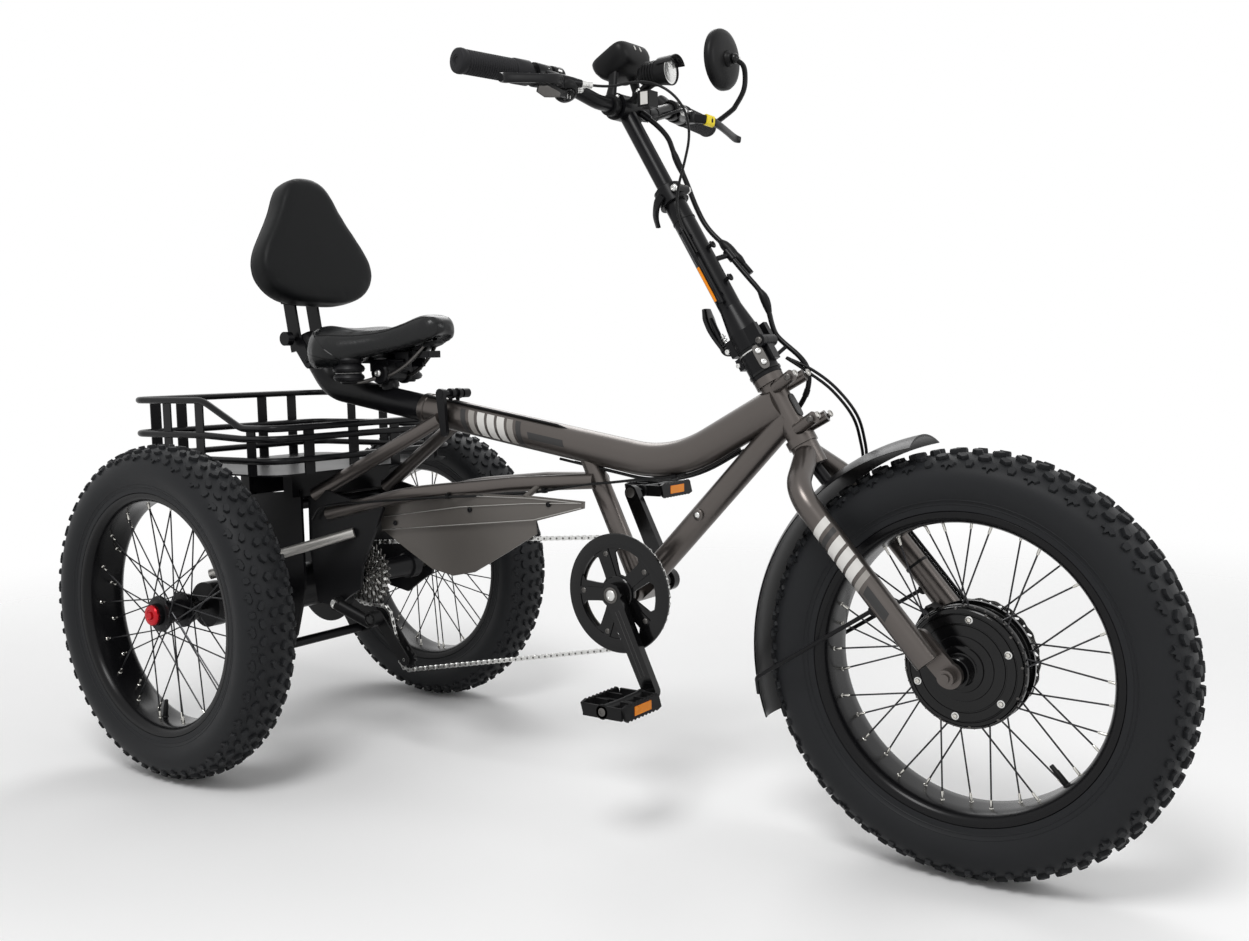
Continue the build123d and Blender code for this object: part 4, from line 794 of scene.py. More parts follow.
# ---------------------------------------------------------------- chain and sprockets
RING_R = 86.0
RING_TEETH = 42
RING_Y = -56.0
GUARD_Y = RING_Y - 7.75        # middle of the ring's guard
GUARD_T = 4.5
BEND_STEP = 115                # degrees of turn times radius for each step of the chain's bends
CASSETTE_R = 56.0
COGS = 8
COG_STEP = 4.6                 # from one sprocket's radius to the next
COG_GAP = 3.6
PULLEY_R = 20.0
PULLEY_TEETH = 11
STAY_Y = 90.0
PLATE_T = 6.0
CHAIN_PITCH = 12.7
CASSETTE_AT = (205.0, 333.0)
GUIDE_AT = (240.0, 257.0)
TENSION_AT = (300.0, 188.0)
CASSETTE = at(CASSETTE_AT[0], 0, CASSETTE_AT[1])
CHAIN_WHEELS = [
    # (distance ahead, height), radius of the chain's middle, way round
    ((BB_X, BB_Z), RING_R, 1),
    (CASSETTE_AT, CASSETTE_R, 1),
    (GUIDE_AT, PULLEY_R, -1),
    (TENSION_AT, PULLEY_R, 1),
]


def tangent_run(a, ra, turn_a, b, rb, turn_b):
    """Ends of the run between two wheels that a band goes round, each turned left (+1) or right (-1)."""
    dx, dz = b[0] - a[0], b[1] - a[1]
    span = hypot(dx, dz)
    lean = (turn_a * ra - turn_b * rb) / span
    rise = (1 - lean * lean) ** 0.5
    ux, uz = dx / span, dz / span
    nx, nz = ux * lean + uz * rise, uz * lean - ux * rise
    return (a[0] + turn_a * ra * nx, a[1] + turn_a * ra * nz), (b[0] + turn_b * rb * nx, b[1] + turn_b * rb * nz)


def chain_route():
    """Closed route of the chain's middle as (distance ahead, height) points."""
    nexts = CHAIN_WHEELS[1:] + CHAIN_WHEELS[:1]
    runs = [tangent_run(*here, *there) for here, there in zip(CHAIN_WHEELS, nexts)]
    route = []
    for (start, end), (leave, _), ((x, z), radius, turn) in zip(runs, runs[1:] + runs[:1], nexts):
        route += [start, end]
        a0 = atan2(end[1] - z, end[0] - x)
        a1 = atan2(leave[1] - z, leave[0] - x)
        swept = degrees(a1 - a0) * turn % 360 * turn
        steps = max(2, int(abs(swept) * radius / BEND_STEP))
        for j in range(1, steps):
            a = a0 + radians(swept) * j / steps
            route.append((x + radius * cos(a), z + radius * sin(a)))
    return route


def evenly(route, pitch):
    """Points a pitch apart along a closed route, the pitch changed a little so that they come out even."""
    ring = route + route[:1]
    spans = [hypot(b[0] - a[0], b[1] - a[1]) for a, b in zip(ring, ring[1:])]
    whole = sum(spans)
    count = 2 * round(whole / pitch / 2)
    points, i, walked = [], 0, 0.0
    for n in range(count):
        goal = whole * n / count
        while walked + spans[i] < goal:
            walked += spans[i]
            i += 1
        share = (goal - walked) / spans[i]
        points.append(tuple(a + (b - a) * share for a, b in zip(ring[i], ring[i + 1])))
    return points


def link_outline(length, round_r, waist):
    """Side plate of a chain link, round at both pins and narrow between them."""
    loop = []
    for end, start in ((1, -60), (-1, 120)):
        for j in range(7):
            a = radians(start + 20 * j)
            loop.append((end * length / 2 + round_r * cos(a), round_r * sin(a)))
        loop.append((0, waist * end))
    return loop


def chain():
    form = Form()
    pins = evenly(chain_route(), CHAIN_PITCH)
    for i, ((x0, z0), (x1, z1)) in enumerate(zip(pins, pins[1:] + pins[:1])):
        pin, following = at(x0, RING_Y, z0), at(x1, RING_Y, z1)
        place = plane_of((pin + following) / 2, following - pin, LEFT)
        outline = link_outline((following - pin).length, 4.1, 2.5)
        offset = 2.9 if i % 2 else 1.85
        for side in SIDES:
            form.add(slab(outline, side * offset - 0.5, side * offset + 0.5, place), "steel")
        form.add(disc(1.7, -3.9, 3.9, pin, LEFT), "dark_steel")
        form.add(disc(3.7, -1.3, 1.3, pin, LEFT), "steel")
    make_piece("chain_links", "frame", form, replaces=["chain"], sharp=30)


def toothed(radius, teeth, depth):
    """Outline of a sprocket whose chain lies at a radius."""
    loop = []
    for i in range(teeth):
        for share, height in ((-0.32, -0.55), (-0.14, 0.32), (-0.05, 0.52), (0.05, 0.52), (0.14, 0.32),
                              (0.32, -0.55), (0.5, -0.75)):
            a = 2 * pi * (i + share) / teeth
            r = radius + depth * height
            loop.append((r * cos(a), r * sin(a)))
    return loop


def window(inner, outer, start, end):
    """Rounded opening between two arms of a spider."""
    span = end - start
    inset, pull = span * 0.14, span * 0.30
    corner_r = outer - (outer - inner) * 0.18
    low_r = inner + (outer - inner) * 0.22
    turns = [(outer, start + inset + (span - 2 * inset) * j / 10) for j in range(11)]
    turns += [(corner_r, end), (low_r, end - pull * 0.5)]
    turns += [(inner, end - pull - (span - 2 * pull) * j / 4) for j in range(5)]
    turns += [(low_r, start + pull * 0.5), (corner_r, start)]
    return [(r * cos(a), r * sin(a)) for r, a in turns]


def chainring():
    form = Form()
    ring_place = plane_of(BB + LEFT * RING_Y, FORWARD, -LEFT)
    form.add(cutout([toothed(RING_R, RING_TEETH, 7.0), circle(RING_R - 18, 72)], 2.6, ring_place), "dark_steel")
    middle = BB + LEFT * GUARD_Y
    arms = [radians(72 * i + 36) for i in range(5)]
    windows = [window(30.0, 70.5, a + radians(15), a + radians(57)) for a in arms]
    form.add(cutout([circle(92.2, 120), circle(12.4, 40)] + windows, GUARD_T - 1.2, plane_of(middle, FORWARD, -LEFT)),
             "gloss_black")
    for look, sides, profile in (
            ("gloss_black", 96, [(70.0, -1.6), (70.6, -3.1), (73.0, -3.4), (86.0, -3.2), (91.5, -2.4), (92.8, -0.8),
                                 (92.8, 1.8), (70.0, 1.8)]),
            ("gloss_black", 60, [(27.5, 0.8), (27.5, -3.4), (26, -4.8), (18.4, -5.2), (14.3, -5.2), (14.3, 0.8)]),
            ("dark_steel", 40, [(24.5, 1.0), (24.5, 13.0), (14.4, 13.0), (14.4, 1.0)])):
        form.add(turned(profile, middle, LEFT, sides, closed=True), look)
    rib = [(14, -7.5), (69, -6.0), (71.5, -4.0), (71.5, 4.0), (69, 6.0), (14, 7.5)]
    for a in arms:
        way = vec(cos(a), 0, sin(a))
        form.add(slab(rib, -0.6, 1.9, plane_of(middle - LEFT * 1.2, way, -LEFT)), "gloss_black")
        form.add(button(middle + way * 63.5 - LEFT * 2.8, -LEFT, 4.4, 2.0), "dark_steel")
        form.add(rod(middle + way * 64 + LEFT, BB + way * 64 + LEFT * (RING_Y - 0.5), 5.5, sides=14), "gloss_black")
    make_piece("chainring_guard", "crankset", form, replaces=["chainring"], sharp=30)


def cassette():
    form = Form()
    for i in range(COGS):
        radius = CASSETTE_R - i * COG_STEP
        teeth = max(11, round(2 * pi * radius / CHAIN_PITCH))
        place = plane_of(CASSETTE + LEFT * (RING_Y - i * COG_GAP), (cos(i * 0.4), 0, sin(i * 0.4)), LEFT)
        loops = [toothed(radius, teeth, 6.4), circle(max(13.5, radius * 0.42), 32)]
        if radius > 34:
            loops += [circle(3.4, 10, *spot) for spot in circle(radius * 0.72, teeth // 3)]
        form.add(cutout(loops, 2.0, place), "steel" if i % 2 else "dark_steel")
    for radius, low, high, sides in ((17.0, RING_Y - (COGS - 1) * COG_GAP, RING_Y + 10, 32),
                                     (9.0, PLATE_T / 2 - STAY_Y, STAY_Y - PLATE_T / 2, 20)):
        form.add(rod(CASSETTE + LEFT * low, CASSETTE + LEFT * high, radius, sides=sides), "dark_steel")
    form.add(turned([(17.5, 10.0), (24.0, 10.5), (24.0, 20.0), (20.5, 22.0), (19.0, 52.0), (20.0, 96.0), (24.0, 98.0),
                     (24.0, 116.0), (12.0, 116.5)], CASSETTE + LEFT * RING_Y, LEFT, 40), "black_metal")
    make_piece("cassette_sprockets", "frame", form, replaces=["cassette"], sharp=30)


def derailleur_wheels():
    form = Form()
    for x, z in (GUIDE_AT, TENSION_AT):
        centre = at(x, RING_Y, z)
        loops = [toothed(PULLEY_R - 2.2, PULLEY_TEETH, 6.0), circle(5.4, 16)]
        form.add(cutout(loops, 3.4, plane_of(centre, FORWARD, LEFT)), "black_plastic")
        form.add(button(centre - LEFT * 9.2, -LEFT, 4.6, 2.4), "steel")
        form.add(button(centre + LEFT * 9.4, LEFT, 4.6, 2.0), "dark_steel")
    hanger = at(172, -STAY_Y - 18, 282)
    form.add(turned([(8.4, -0.4), (8.4, 1.4), (7.0, 2.4), (3.4, 2.4), (3.2, 1.0)], hanger, -LEFT, 24), "steel")
    knuckle = at(GUIDE_AT[0], RING_Y - 33, GUIDE_AT[1])
    form.add(turned([(10.5, -0.4), (10.0, 1.0), (6.0, 2.0), (3.0, 2.0)], knuckle, -LEFT, 24), "gloss_black")
    make_piece("derailleur_wheels", "frame", form, sharp=30)


# ---------------------------------------------------------------- cranks and pedals
CRANK_LEN = 157.0
CRANK_ANGLE = radians(29.0)
CRANK_Y = 76.0
CRANK_SPLAY = 14.0
CRANK_T = 15.0
PEDAL_Y = 168.0
PEDAL_L = 76.0
PEDAL_HALF = 48.0
PEDAL_T = 26.0
PEDAL_TEETH = 9


def crank_end(side):
    return BB + vec(sin(CRANK_ANGLE), 0, -cos(CRANK_ANGLE)) * CRANK_LEN * -side


def crank_trim():
    form = Form()
    for side in SIDES:
        out = LEFT * side
        root = BB + out * (CRANK_Y + CRANK_T / 2)
        form.add(turned([(12.4, -0.2), (12.4, 0.8), (11.0, 1.3), (9.6, 1.3), (9.2, 0.5)], root, out, 32),
                 "dark_steel")
        form.add(button(root + out * 0.4, out, 8.2, 2.6, 24, socket=0.5), "steel")
        end = crank_end(side)
        run = (end - BB).normalized()
        across = run.cross(out).normalized()
        for offset in (-3.4, 3.4):
            ends = [BB + run * reach + out * (CRANK_Y + CRANK_T / 2 - 1 + reach * CRANK_SPLAY / CRANK_LEN)
                    + across * offset for reach in (26, CRANK_LEN - 24)]
            form.add(rod(*ends, 0.9, sides=8), "dark_print")
        tip = end + out * (CRANK_Y + CRANK_SPLAY - CRANK_T / 2 + 1)
        form.add(turned([(8.5, -0.2), (8.5, 0.9), (7.2, 1.4), (3.6, 1.4)], tip, -out, 24), "dark_steel")
    make_piece("crank_trim", "crankset", form, sharp=30)


def pedal(name, side):
    """Cage with a toothed rim, a barrel, cross ribs and an amber reflector at each end."""
    out = LEFT * side
    centre = crank_end(side) + out * PEDAL_Y
    form = Form()
    half_l, half_t = PEDAL_L / 2, PEDAL_T / 2
    tooth = (2 * PEDAL_HALF - 14) / PEDAL_TEETH
    outline = [(6 - PEDAL_HALF, 3 - half_t)]
    for edge in SIDES:
        for i in range(PEDAL_TEETH):
            start = edge * (PEDAL_HALF - 7 - i * tooth)
            outline += [(start, edge * (half_t - 3.0)), (start - edge * tooth * 0.5, edge * half_t)]
        outline.append((PEDAL_HALF * -edge, edge * (half_t - 3.6)))
    for along in SIDES:
        form.add(slab(outline, -2.4, 2.4, plane_of(centre + FORWARD * along * (half_l - 2.5), LEFT, FORWARD)),
                 "black_plastic")
        for across in (-16.5, 16.5):
            form.add(block(centre + vec(along * (half_l - 15), across, 0), (24, 4.0, PEDAL_T - 7)), "black_plastic")
        place = centre + FORWARD * along * (half_l - 0.4)
        form.add(block(place, (1.6, 42, 13.5)), "amber")
        form.add(block(place - FORWARD * along * 1.2, (2.2, 46, 16.5)), "black_plastic")
    for across in SIDES:
        wall = centre + LEFT * across * (PEDAL_HALF - 2.2)
        form.add(block(wall, (PEDAL_L - 8, 4.4, PEDAL_T - 8)), "black_plastic")
    spine = [(6.2, -53.5), (9.8, -53.5), (10.6, -51.5), (9.0, -40), (8.2, 0), (9.4, 40), (11.0, 45), (11.0, 47.4),
             (9.8, 48)]
    form.add(turned(spine, centre, out, 28), "black_plastic")
    form.add(button(centre + out * (PEDAL_HALF - 0.4), out, 6.4, 1.6, 22), "dark_steel")
    form.add(block(centre, (PEDAL_L - 6, 5.0, 11)), "black_plastic")
    make_piece(name + "_pedal_cage", name + "_foot", form, bevel=0.35, replaces=[name + "_pedal"],
               sharp=35)


# ---------------------------------------------------------------- soft goods
SOFT_FRAMES = 20
PRESSURE = 4.0
SOFT_STIFFNESS = 18
SOFT_BENDING = 2.0


def baked(made):
    """The object's mesh with its modifiers, which are taken off."""
    mesh = bpy.data.meshes.new_from_object(made.evaluated_get(bpy.context.evaluated_depsgraph_get()))
    made.modifiers.clear()
    return mesh


def soften(name, body, part, material, cap, replaces, voxel=5.0):
    """Padded piece: the shape is remeshed, blown up a little by a cloth simulation and smoothed."""
    points, faces = part
    made = linked(name, mesh_of(name, points, faces, []))
    remesh = made.modifiers.new("remesh", "REMESH")
    remesh.mode = "VOXEL"
    remesh.voxel_size = voxel * MM
    made.data = baked(made)
    rest = [v.co.copy() for v in made.data.vertices]
    cloth = made.modifiers.new("cloth", "CLOTH").settings
    cloth.use_pressure = True
    cloth.uniform_pressure_force = PRESSURE
    cloth.tension_stiffness = cloth.compression_stiffness = SOFT_STIFFNESS
    cloth.bending_stiffness = SOFT_BENDING
    cloth.effector_weights.gravity = 0.0
    scene = bpy.context.scene
    for frame_number in range(1, SOFT_FRAMES + 1):
        scene.frame_set(frame_number)
    made.data = baked(made)
    for vertex, start in zip(made.data.vertices, rest):
        step = vertex.co - start
        if step.length > cap * MM:
            vertex.co = start + step.normalized() * cap * MM
    scene.frame_set(1)
    smooth = made.modifiers.new("smooth", "SMOOTH")
    smooth.factor = 0.5
    smooth.iterations = 3
    made.modifiers.new("finer", "SUBSURF").levels = 1
    made.data = baked(made)
    made.data.name = name
    made.data.materials.clear()
    made.data.materials.append(MATS[material])
    made.data.polygons.foreach_set("use_smooth", [True] * len(made.data.polygons))
    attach(made, body)
    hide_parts(*replaces)
    return made


def on_surface(piece, points, lift):
    """Points moved onto the nearest places of a piece, and out by a lift."""
    tree = BVHTree.FromPolygons([v.co for v in piece.data.vertices], [p.vertices for p in piece.data.polygons])
    found = [tree.find_nearest(Vector(point) * MM) for point in points]
    return [place / MM + normal * lift for place, normal, _, _ in found]


SADDLE_REAR_X = 108.0
SADDLE_BASE_Z = 716.0
SADDLE_ROWS = [
    # distance from the rear, half width, middle of the top and rim of the flank above the base, dip
    (0, 44, 34, 8, 0.0), (3, 78, 50, -2, 0.02), (10, 98, 58, -8, 0.05), (24, 113, 62, -12, 0.08),
    (45, 121, 61, -12, 0.10), (70, 119, 56, -10, 0.11), (95, 108, 51, -4, 0.11), (120, 92, 49, 4, 0.09),
    (145, 76, 50, 10, 0.06), (168, 63, 54, 14, 0.02), (190, 53, 61, 18, 0.0), (212, 46, 69, 24, 0.0),
    (232, 41, 74, 30, 0.0), (247, 34, 73, 35, 0.0), (257, 24, 66, 40, 0.0), (262, 11, 57, 46, 0.0),
]
SADDLE_SECTION = [
    # share of the half width, share of the height; from the middle of the top down to the underside
    (0.0, 1.0), (0.2, 1.0), (0.4, 0.995), (0.56, 0.975), (0.7, 0.93), (0.82, 0.84), (0.91, 0.71), (0.965, 0.53),
    (0.985, 0.34), (0.965, 0.15), (0.92, 0.02), (0.86, -0.04), (0.74, 0.0), (0.4, 0.08), (0.0, 0.10),
]
SADDLE_SEAMS = [
    # distance from the rear, share of the half width, share of the height
    [(6, 0.62, 0.96), (20, 0.8, 0.86), (40, 0.9, 0.74), (62, 0.96, 0.56), (80, 0.985, 0.34), (97, 0.95, 0.05)],
    [(40, 0.9, 0.74), (62, 0.86, 0.79), (90, 0.83, 0.83), (120, 0.82, 0.85), (150, 0.8, 0.86), (180, 0.76, 0.89),
     (210, 0.72, 0.91), (236, 0.68, 0.92), (250, 0.55, 0.96)],
    [(3, 0.97, 0.3), (20, 0.985, 0.30), (45, 0.985, 0.27), (70, 0.98, 0.18), (94, 0.94, 0.04)],
]


def saddle_at(along, side=0.0, up=0.0):
    """Point from the saddle's rear end, its middle and its base."""
    return at(SADDLE_REAR_X + along, side, SADDLE_BASE_Z + up)


def saddle_point(along, share, height, side):
    """Place on the saddle from a distance from the rear and the shares of a section."""
    for low, high in zip(SADDLE_ROWS, SADDLE_ROWS[1:]):
        if along <= high[0]:
            break
    t = max(0.0, min(1.0, (along - low[0]) / (high[0] - low[0])))
    half, top, rim_up, dip = (a + (b - a) * t for a, b in zip(low[1:], high[1:]))
    if height > 0.8 and share < 0.56:
        height -= dip * (1 - (share / 0.56) ** 2)
    return saddle_at(along, side * share * half, rim_up + (top - rim_up) * height)


def saddle():
    points = []
    for row in SADDLE_ROWS:
        points += [saddle_point(row[0], u, v, -1) for u, v in SADDLE_SECTION]
        points += [saddle_point(row[0], u, v, 1) for u, v in SADDLE_SECTION[-2:0:-1]]
    count = len(points) // len(SADDLE_ROWS)
    ends = [sum(ring, Vector()) / count for ring in (points[:count], points[-count:])]
    made = soften("saddle_cover", "seat", fanned(points, count, *ends), "upholstery", 2.6, ["saddle"], voxel=4.2)
    form = Form()
    for side in SIDES:
        for seam in SADDLE_SEAMS:
            route = on_surface(made, eased([saddle_point(x, u, v, side) for x, u, v in seam], 7), 0.15)
            form.add(tube(route, 0.8, 8), "gloss_black")
    make_piece("saddle_seams", "seat", form)


def saddle_mount():
    """Double-ring bumpers, rails, clamp and bracket under the saddle."""
    form = Form()
    for side in SIDES:
        top = saddle_at(88, side * 72, 3)
        rear = top - TOP * 44
        form.add(turned([(0, -2), (25, -2), (27, 4), (24, 9), (22, 11), (26.5, 15), (28.5, 19.5), (26.5, 24),
                         (22.5, 26), (22.5, 28), (26, 31), (27.5, 35), (25, 39.5), (19, 42), (0, 42)], top, -TOP, 36),
                 "elastomer")
        form.add(turned([(20.5, 27.1), (24.0, 27.1), (24.0, 26.9), (20.5, 26.9)], top, -TOP, 36, closed=True),
                 "steel")
        form.add(turned([(0, -3), (15, -3), (15, 0), (13, 2), (0, 2)], rear, -TOP, 24), "black_metal")
        rail = [rear + vec(-4, side * 6, 1), rear + vec(14, side * -16, 1)] + [
            saddle_at(x, side * y, z) for x, y, z in ((116, 30, -33), (146, 26, -28), (178, 21, -12), (204, 17, 8),
                                                      (222, 12, 26))]
        form.add(tube(eased(rail, 7), 3.5), "dark_steel")
    make_piece("saddle_springs", "seat", form)
    form = Form()
    post = COLLAR - MAIN_DIR * 98
    clamp = post + vec(9, 0, 49)
    for side in SIDES:
        cheek = clamp + LEFT * side * 24
        form.add(turned([(0, 0), (19, 0), (20, 2), (20, 8), (17, 11), (0, 11)], cheek, LEFT * side, 32),
                 "black_metal")
        form.add(button(cheek + LEFT * side * 11, LEFT * side, 7.0, 4.0, 20), "steel")
        form.add(block(cheek + vec(-4, side * 5, 18), (34, 9, 8)), "black_metal")
        form.add(block(saddle_at(168, side * 17, -2), (34, 8, 26)), "black_metal")
    form.add(rod(clamp - LEFT * 24, clamp + LEFT * 24, 16, sides=28), "black_metal")
    form.add(rod(post + TOP * 24, post + TOP * 34, 18.5, 17, sides=28), "black_metal")
    form.add(slab(oval(64, 34, 28, 3.0), -3, 3, plane_of(saddle_at(212, 0, 20), (1, 0, 0.24), (-0.24, 0, 1))),
             "black_plastic")
    form.add(block(saddle_at(206, 0, 6), (44, 30, 12)), "black_metal")
    make_piece("saddle_clamp", "seat", form, bevel=0.8)


PAD_T = 58.0
PAD_LEAN = radians(10.4)
PAD_AT = at(71, 0, 823)
PAD_MIDDLE = 105.0
PAD_HALF = [
    # height, half width; from the bottom round one side to the top
    (0, 0), (0, 30), (2.5, 62), (11, 92), (26, 114), (47, 128), (70, 132), (94, 126), (118, 113), (142, 97),
    (165, 82), (186, 70), (206, 60), (222, 49), (234, 35), (240.5, 18), (242, 0),
]
PAD_PROFILE = [
    # inward from the outline, back from the front face
    (70, -0.6), (42, -0.4), (22, 0), (11, 0.6), (5.5, 2.4), (2.0, 6.4), (0.6, 12), (0.0, 24), (0.2, 36), (1.6, 44),
    (5.5, 50), (13, 54.5), (24, 56.5), (60, 57.0),
]
BEAM_R = 24.0
BEAM_TOP = at(5, 0, 758)
BEAM_WAY = (at(76, 0, 666.5) - BEAM_TOP).normalized()


def backrest():
    out = vec(cos(PAD_LEAN), 0, sin(PAD_LEAN))
    rise = vec(-sin(PAD_LEAN), 0, cos(PAD_LEAN))
    side_line = eased([vec(w, h, 0) for h, w in PAD_HALF], 4)
    outline = [(p.x, p.y) for p in side_line] + [(-p.x, p.y) for p in side_line[-2:0:-1]]
    count = len(outline)
    normals = []
    for a, b in zip(outline[-1:] + outline[:-1], outline[1:] + outline[:1]):
        length = hypot(b[0] - a[0], b[1] - a[1])
        normals.append(((b[1] - a[1]) / length, -(b[0] - a[0]) / length))

    def on_pad(y, z, back):
        return PAD_AT + LEFT * y + rise * z - out * back

    def loop(inset, back):
        return [on_pad(y - ny * inset, z - nz * inset, back) for (y, z), (ny, nz) in zip(outline, normals)]

    points = []
    for inset, back in PAD_PROFILE:
        share = 1 - inset / PAD_MIDDLE
        points += loop(inset, back + 1.2) if inset <= 24 else [
            on_pad(y * share, PAD_MIDDLE + (z - PAD_MIDDLE) * share, back + 1.2) for y, z in outline]
    ends = [on_pad(0, PAD_MIDDLE, back) for back in (0, PAD_T + 0.2)]
    made = soften("backrest_cushion", "backrest", fanned(points, count, *ends), "pad_cover", 1.6,
                  ["backrest_pad"])
    form = Form()
    seam = loop(-1, 47)
    form.add(tube(on_surface(made, seam + seam[:2], 0.1), 0.8, 6), "gloss_black")
    face = plane_of(PAD_AT - out * (PAD_T + 2.2), LEFT, out)
    shell = [tuple((face.inverted() @ p).xy) for p in loop(16, PAD_T + 0.6)]
    form.add(slab(shell, -1.4, 1.6, face), "black_plastic")
    make_piece("backrest_seam", "backrest", form)
    form = Form()
    for side in SIDES:
        flank = plane_of(BEAM_TOP + BEAM_WAY * 26 + LEFT * side * (BEAM_R + 3.1), BEAM_WAY, LEFT)
        form.add(slab(oval(80, 25, 32, 5.0), -2.3, 2.3, flank), "black_metal")
        form.add(button(BEAM_TOP + BEAM_WAY * 52 + LEFT * side * (BEAM_R + 5.3), LEFT * side, 4.6, 2.2),
                 "black_metal")
    make_piece("backrest_straps", "backrest", form, bevel=0.6)


# ---------------------------------------------------------------- handlebar
def bar_half(side):
    """Bends of the bar from its middle to a tip, and the direction of its end."""
    centre = on_axis(BAR_UP)
    points = [centre + vec(x, side * y, z) for x, y, z in (
        (0, 0, 0), (0, 70, 0), (-BAR_SWEEP * 0.3, 150, BAR_RISE), (-BAR_SWEEP, BAR_HALF, BAR_RISE))]
    return points, (points[3] - points[2]).normalized()


def on_grip(side, inward):
    """Point on the bar, inward from the inner end of the grip."""
    points, run = bar_half(side)
    return points[3] - run * (GRIP_LEN + inward)


def grips():
    form = Form()
    for side in SIDES:
        collar = 26 if side < 0 else 8
        profile = [(BAR_R + 0.2, 0), (16.6, 0.4), (17.6, 1.8), (17.6, collar), (16.9, collar + 1.6),
                   (15.4, collar + 2.4)]
        for t in range(collar + 4, collar + 4 + (106 - collar) // 4 * 4, 4):
            profile += [(16.4, t), (16.6, t + 1.2), (16.4, t + 2.4), (15.6, t + 2.9), (15.6, t + 3.6)]
        profile += [(16.2, 112), (17.2, 113.5), (17.4, 118), (16.6, 121.5), (14.4, 123), (8, 123.2), (7.4, 122.4),
                    (5.4, 122.4), (5.0, 121.4), (0, 121.2)]
        form.add(turned(profile, on_grip(side, 0), bar_half(side)[1], 36), "grip_rubber")
    make_piece("grip_covers", "bars", form, replaces=["grips"], sharp=50)


def controls():
    """Brake levers with their clamps, the shifter on the right and the switch pod on the left."""
    form = Form()

    def clamp(place, run, half, outer, edge, sides, look):
        form.add(turned(cuff(BAR_R + 0.2, outer, half, edge), place, run, sides, closed=True), look)

    for side in SIDES:
        run = bar_half(side)[1]
        place = on_grip(side, 22)
        clamp(place, run, 12, 17.1, 0.5, 32, "black_metal")
        reach = [place + vec(10, 0, -4), place - run * 20 + vec(22, 0, -8), place - run * 46 + vec(33, 0, -10)]
        route = eased(reach, 6)
        form.add(tube(route, spread([11, 10.5, 9.5, 8, 5.5], len(route)), 18), "black_metal")
        for i, spot in enumerate((-4, -22)):
            form.add(button(place + run * spot + vec(12 + 5 * i, 0, 7 - i), (0.3, 0, 1), 3.6, 2.6, 16), "steel")
        form.add(turned([(0, -2), (5.6, -2), (5.6, 5), (4.4, 6), (4.4, 9), (5.2, 9.6), (5.2, 15), (3, 16), (0, 16)],
                        reach[2], reach[2] - reach[1], 18), "steel")
        pivot = place + vec(30, side * -6, -12)
        form.add(turned([(0, -9), (7.5, -9), (8, -8), (8, 8), (7.5, 9), (0, 9)], pivot, TOP, 24), "black_metal")
        form.add(button(pivot + TOP * 9, TOP, 4.4, 2.2), "steel")
        route = eased([pivot] + [place + vec(x, side * y, z) for x, y, z in (
            (50, 18, -15), (52, 46, -19), (46, 84, -24), (39, 122, -29), (42, 134, -31))], 6)
        form.add(blade(route, [15, 15, 13, 13, 14, 11], [9, 8, 7, 6.5, 6.5, 7], TOP), "black_metal")
    form.add(blade([place + vec(47, 12, -14), place + vec(51.6, 29, -16.6)], [18, 18], [11.5, 10.5], TOP),
             "yellow_tag")
    pod = on_grip(-1, 50)
    clamp(pod, bar_half(-1)[1], 9, 16.4, 0.6, 28, "black_plastic")
    heart = pod + vec(20, 0, -19)
    face = vec(0.62, -0.25, -0.74).normalized()
    form.add(turned([(0, -17), (11, -16), (16, -12), (18.5, -5), (18.5, 3), (16.5, 8), (11.5, 10.5), (10.5, 9.4),
                     (0, 9.4)], heart, face, 36), "black_plastic")
    form.add(turned([(0, 9), (9.6, 9), (9.6, 11.4), (8.6, 12.4), (0, 12.8)], heart, face, 28), "gloss_black")
    for shift in (-3, 3):
        form.add(block(heart + face * 13.2 + LEFT * shift, (1.2, 1.4, 8)), "steel")
    form.add(rod(pod + vec(10, 0, -8), heart, 9), "black_plastic")
    sweep = eased([heart + vec(*spot) for spot in ((6, -8, -8), (16, -34, -12), (17, -58, -13), (12, -78, -11))], 6)
    form.add(blade(sweep, [12, 10, 15, 20, 12], [6, 4, 3.4, 3.2, 2.4], (0.4, 0, 1)), "black_plastic")
    low = [p + vec(0.4, 0, -2.0) for p in sweep[6:]]
    form.add(blade(low, [8, 12, 17, 9], [1.6, 1.6], (0.4, 0, 1)), "dark_steel")
    for i in range(2):
        start = heart + vec(4 - 7 * i, 17, 2 + 5 * i)
        form.add(turned([(0, 0), (4.4, 0), (4.4, 7), (3.6, 8), (4.2, 9), (4.2, 14), (2.4, 17), (0, 17)], start,
                        (0.1, 1, 0.15), 16), "steel")
    pod, run = on_grip(1, 50), bar_half(1)[1]
    clamp(pod, run, 8, 16, 0.6, 28, "black_plastic")
    keys = vec(-0.75, 0, 0.66)
    form.add(slab(oval(34, 26, 24, 3.2), -9, 9, plane_of(pod + vec(-14, 0, 9), run, keys)), "black_plastic")
    for i, look in enumerate(("yellow_tag", "black_plastic", "brace_metal")):
        spot = pod + vec(-20.5, 0, 15) + run * (i - 1) * 9.5
        form.add(turned([(0, 0), (3.4, 0), (3.4, 1.6), (2.6, 2.2), (0, 2.4)], spot, keys, 14), look)
    make_piece("hand_controls", "bars", form, bevel=0.35, replaces=["controls"], sharp=42)


DISPLAY_UP = 64.0
DISPLAY_LEAN = radians(28.0)
DISPLAY_LAYERS = [
    # height, length and width of the rounded housing
    (-17, 40, 52), (-14.5, 50, 64), (-8, 60, 76), (2, 67, 83), (9, 68, 84), (14.4, 66.5, 82.5), (16.8, 63, 79),
]


